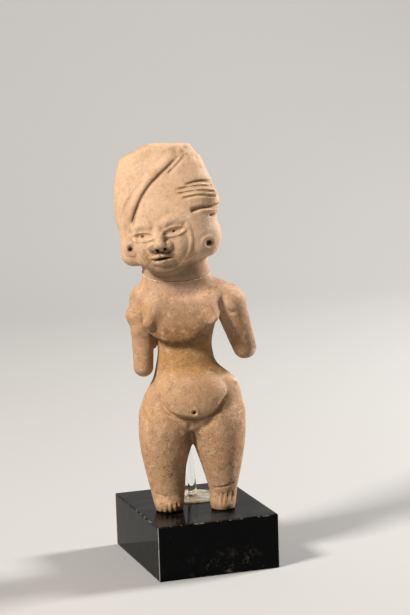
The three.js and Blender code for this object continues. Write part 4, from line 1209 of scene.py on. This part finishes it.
class MakeStudio(bpy.types.Operator):
    """Set the floor, the lights and the camera"""

    bl_idname = "clay_figure.studio"
    bl_label = "Studio"

    def execute(self, context):
        """Sweep a pale floor up behind the part, place two soft lights and the camera."""
        s = settings_of("clay_studio")
        scene = context.scene
        scene.view_settings.view_transform = "Standard"
        self.floor(s.floor)
        front = Vector((-math.sin(s.turn), -math.cos(s.turn), 0))
        back = front * math.cos(s.pitch) + Vector((0, 0, math.sin(s.pitch)))
        right = Vector((math.cos(s.turn), -math.sin(s.turn), 0))
        up = back.cross(right)
        tilted_right = math.cos(s.roll) * right + math.sin(s.roll) * up
        tilted_up = math.cos(s.roll) * up - math.sin(s.roll) * right
        camera = bpy.data.objects.new("camera", bpy.data.cameras.new("camera"))
        camera.data.sensor_fit = "VERTICAL"
        camera.data.sensor_height = 36
        camera.data.lens = s.lens
        camera.data.clip_start = 0.01
        turned = Matrix((tilted_right, tilted_up, back)).transposed().to_4x4()
        camera.matrix_world = Matrix.Translation(Vector(s.camera_place)) @ turned
        scene.collection.objects.link(camera)
        scene.camera = camera
        for name, ahead, aside, height, size, tone in LIGHTS:
            place = front * ahead + right * aside + Vector((0, 0, height))
            self.light(name, place, getattr(s, name), size, tone)
        world = scene.world or bpy.data.worlds.new("studio")
        scene.world = world
        world.use_nodes = True
        sky = world.node_tree.nodes["Background"]
        sky.inputs["Color"].default_value = SKY_TONE
        sky.inputs["Strength"].default_value = s.fill
        return {"FINISHED"}

    def floor(self, tone):
        """A pale floor that sweeps up into a backdrop, as one profile carried sideways."""
        bend = np.linspace(0, math.pi / 2, 16)
        depth = np.concatenate([[-1.6], 0.5 + 0.4 * np.sin(bend), [0.9]])
        height = np.concatenate([[0], 0.4 - 0.4 * np.cos(bend), [1.8]])
        rows = [np.stack([np.full(len(depth), x), depth, height], 1) for x in (-2.2, 2.2)]
        n = len(depth)
        mesh = bpy.data.meshes.new("floor")
        quads = [(i, n + i, n + i + 1, i + 1) for i in range(n - 1)]
        mesh.from_pydata(np.concatenate(rows).tolist(), [], quads)
        mesh.shade_smooth()
        floor = bpy.data.objects.new("floor", mesh)
        bpy.context.scene.collection.objects.link(floor)
        f = Finish("pale_floor", Roughness=0.85)
        f.feed(Base_Color=f.tint(f.noise(3.0, 2.0), tone, darker(tone, 0.95)))
        mesh.materials.append(f.material)

    def light(self, name, place, power, size, tone):
        """A square soft light that looks at the figure."""
        data = bpy.data.lights.new(name, "AREA")
        data.energy = power
        data.size = size
        data.color = tone
        lamp = bpy.data.objects.new(name, data)
        lamp.location = place
        lamp.rotation_euler = (LIT_POINT - place).to_track_quat("-Z", "Y").to_euler()
        bpy.context.scene.collection.objects.link(lamp)


# Each step: the property group it reads, the name that holds it, and its operator
STEPS = (
    (StudioSettings, "clay_studio", MakeStudio),
    (PlinthSettings, "clay_plinth", MakePlinth),
    (FigureSettings, "clay_figure", MakeFigure),
    (HolderSettings, "clay_holder", MakeHolder),
)


class ClayFigurePanel(bpy.types.Panel):
    """Buttons and values of the clay figure"""

    bl_idname = "VIEW3D_PT_clay_figure"
    bl_label = "Clay figure"
    bl_space_type = "VIEW_3D"
    bl_region_type = "UI"
    bl_category = "Clay figure"

    def draw(self, context):
        """List each operator under the values it reads."""
        for group, held_as, operator in STEPS:
            for name in group.__annotations__:
                self.layout.prop(settings_of(held_as), name)
            self.layout.operator(operator.bl_idname)


def register():
    """Register the classes and hang the values on the scene."""
    for group, held_as, operator in STEPS:
        bpy.utils.register_class(group)
        bpy.utils.register_class(operator)
        setattr(bpy.types.Scene, held_as, bpy.props.PointerProperty(type=group))
    bpy.utils.register_class(ClayFigurePanel)


def unregister():
    """Take back what register did."""
    bpy.utils.unregister_class(ClayFigurePanel)
    for group, held_as, operator in reversed(STEPS):
        delattr(bpy.types.Scene, held_as)
        bpy.utils.unregister_class(operator)
        bpy.utils.unregister_class(group)


def main():
    """Make everything in order."""
    register()
    bpy.ops.clay_figure.studio()
    bpy.ops.clay_figure.plinth()
    bpy.ops.clay_figure.figure()
    bpy.ops.clay_figure.holder()


if __name__ == "__main__":
    main()
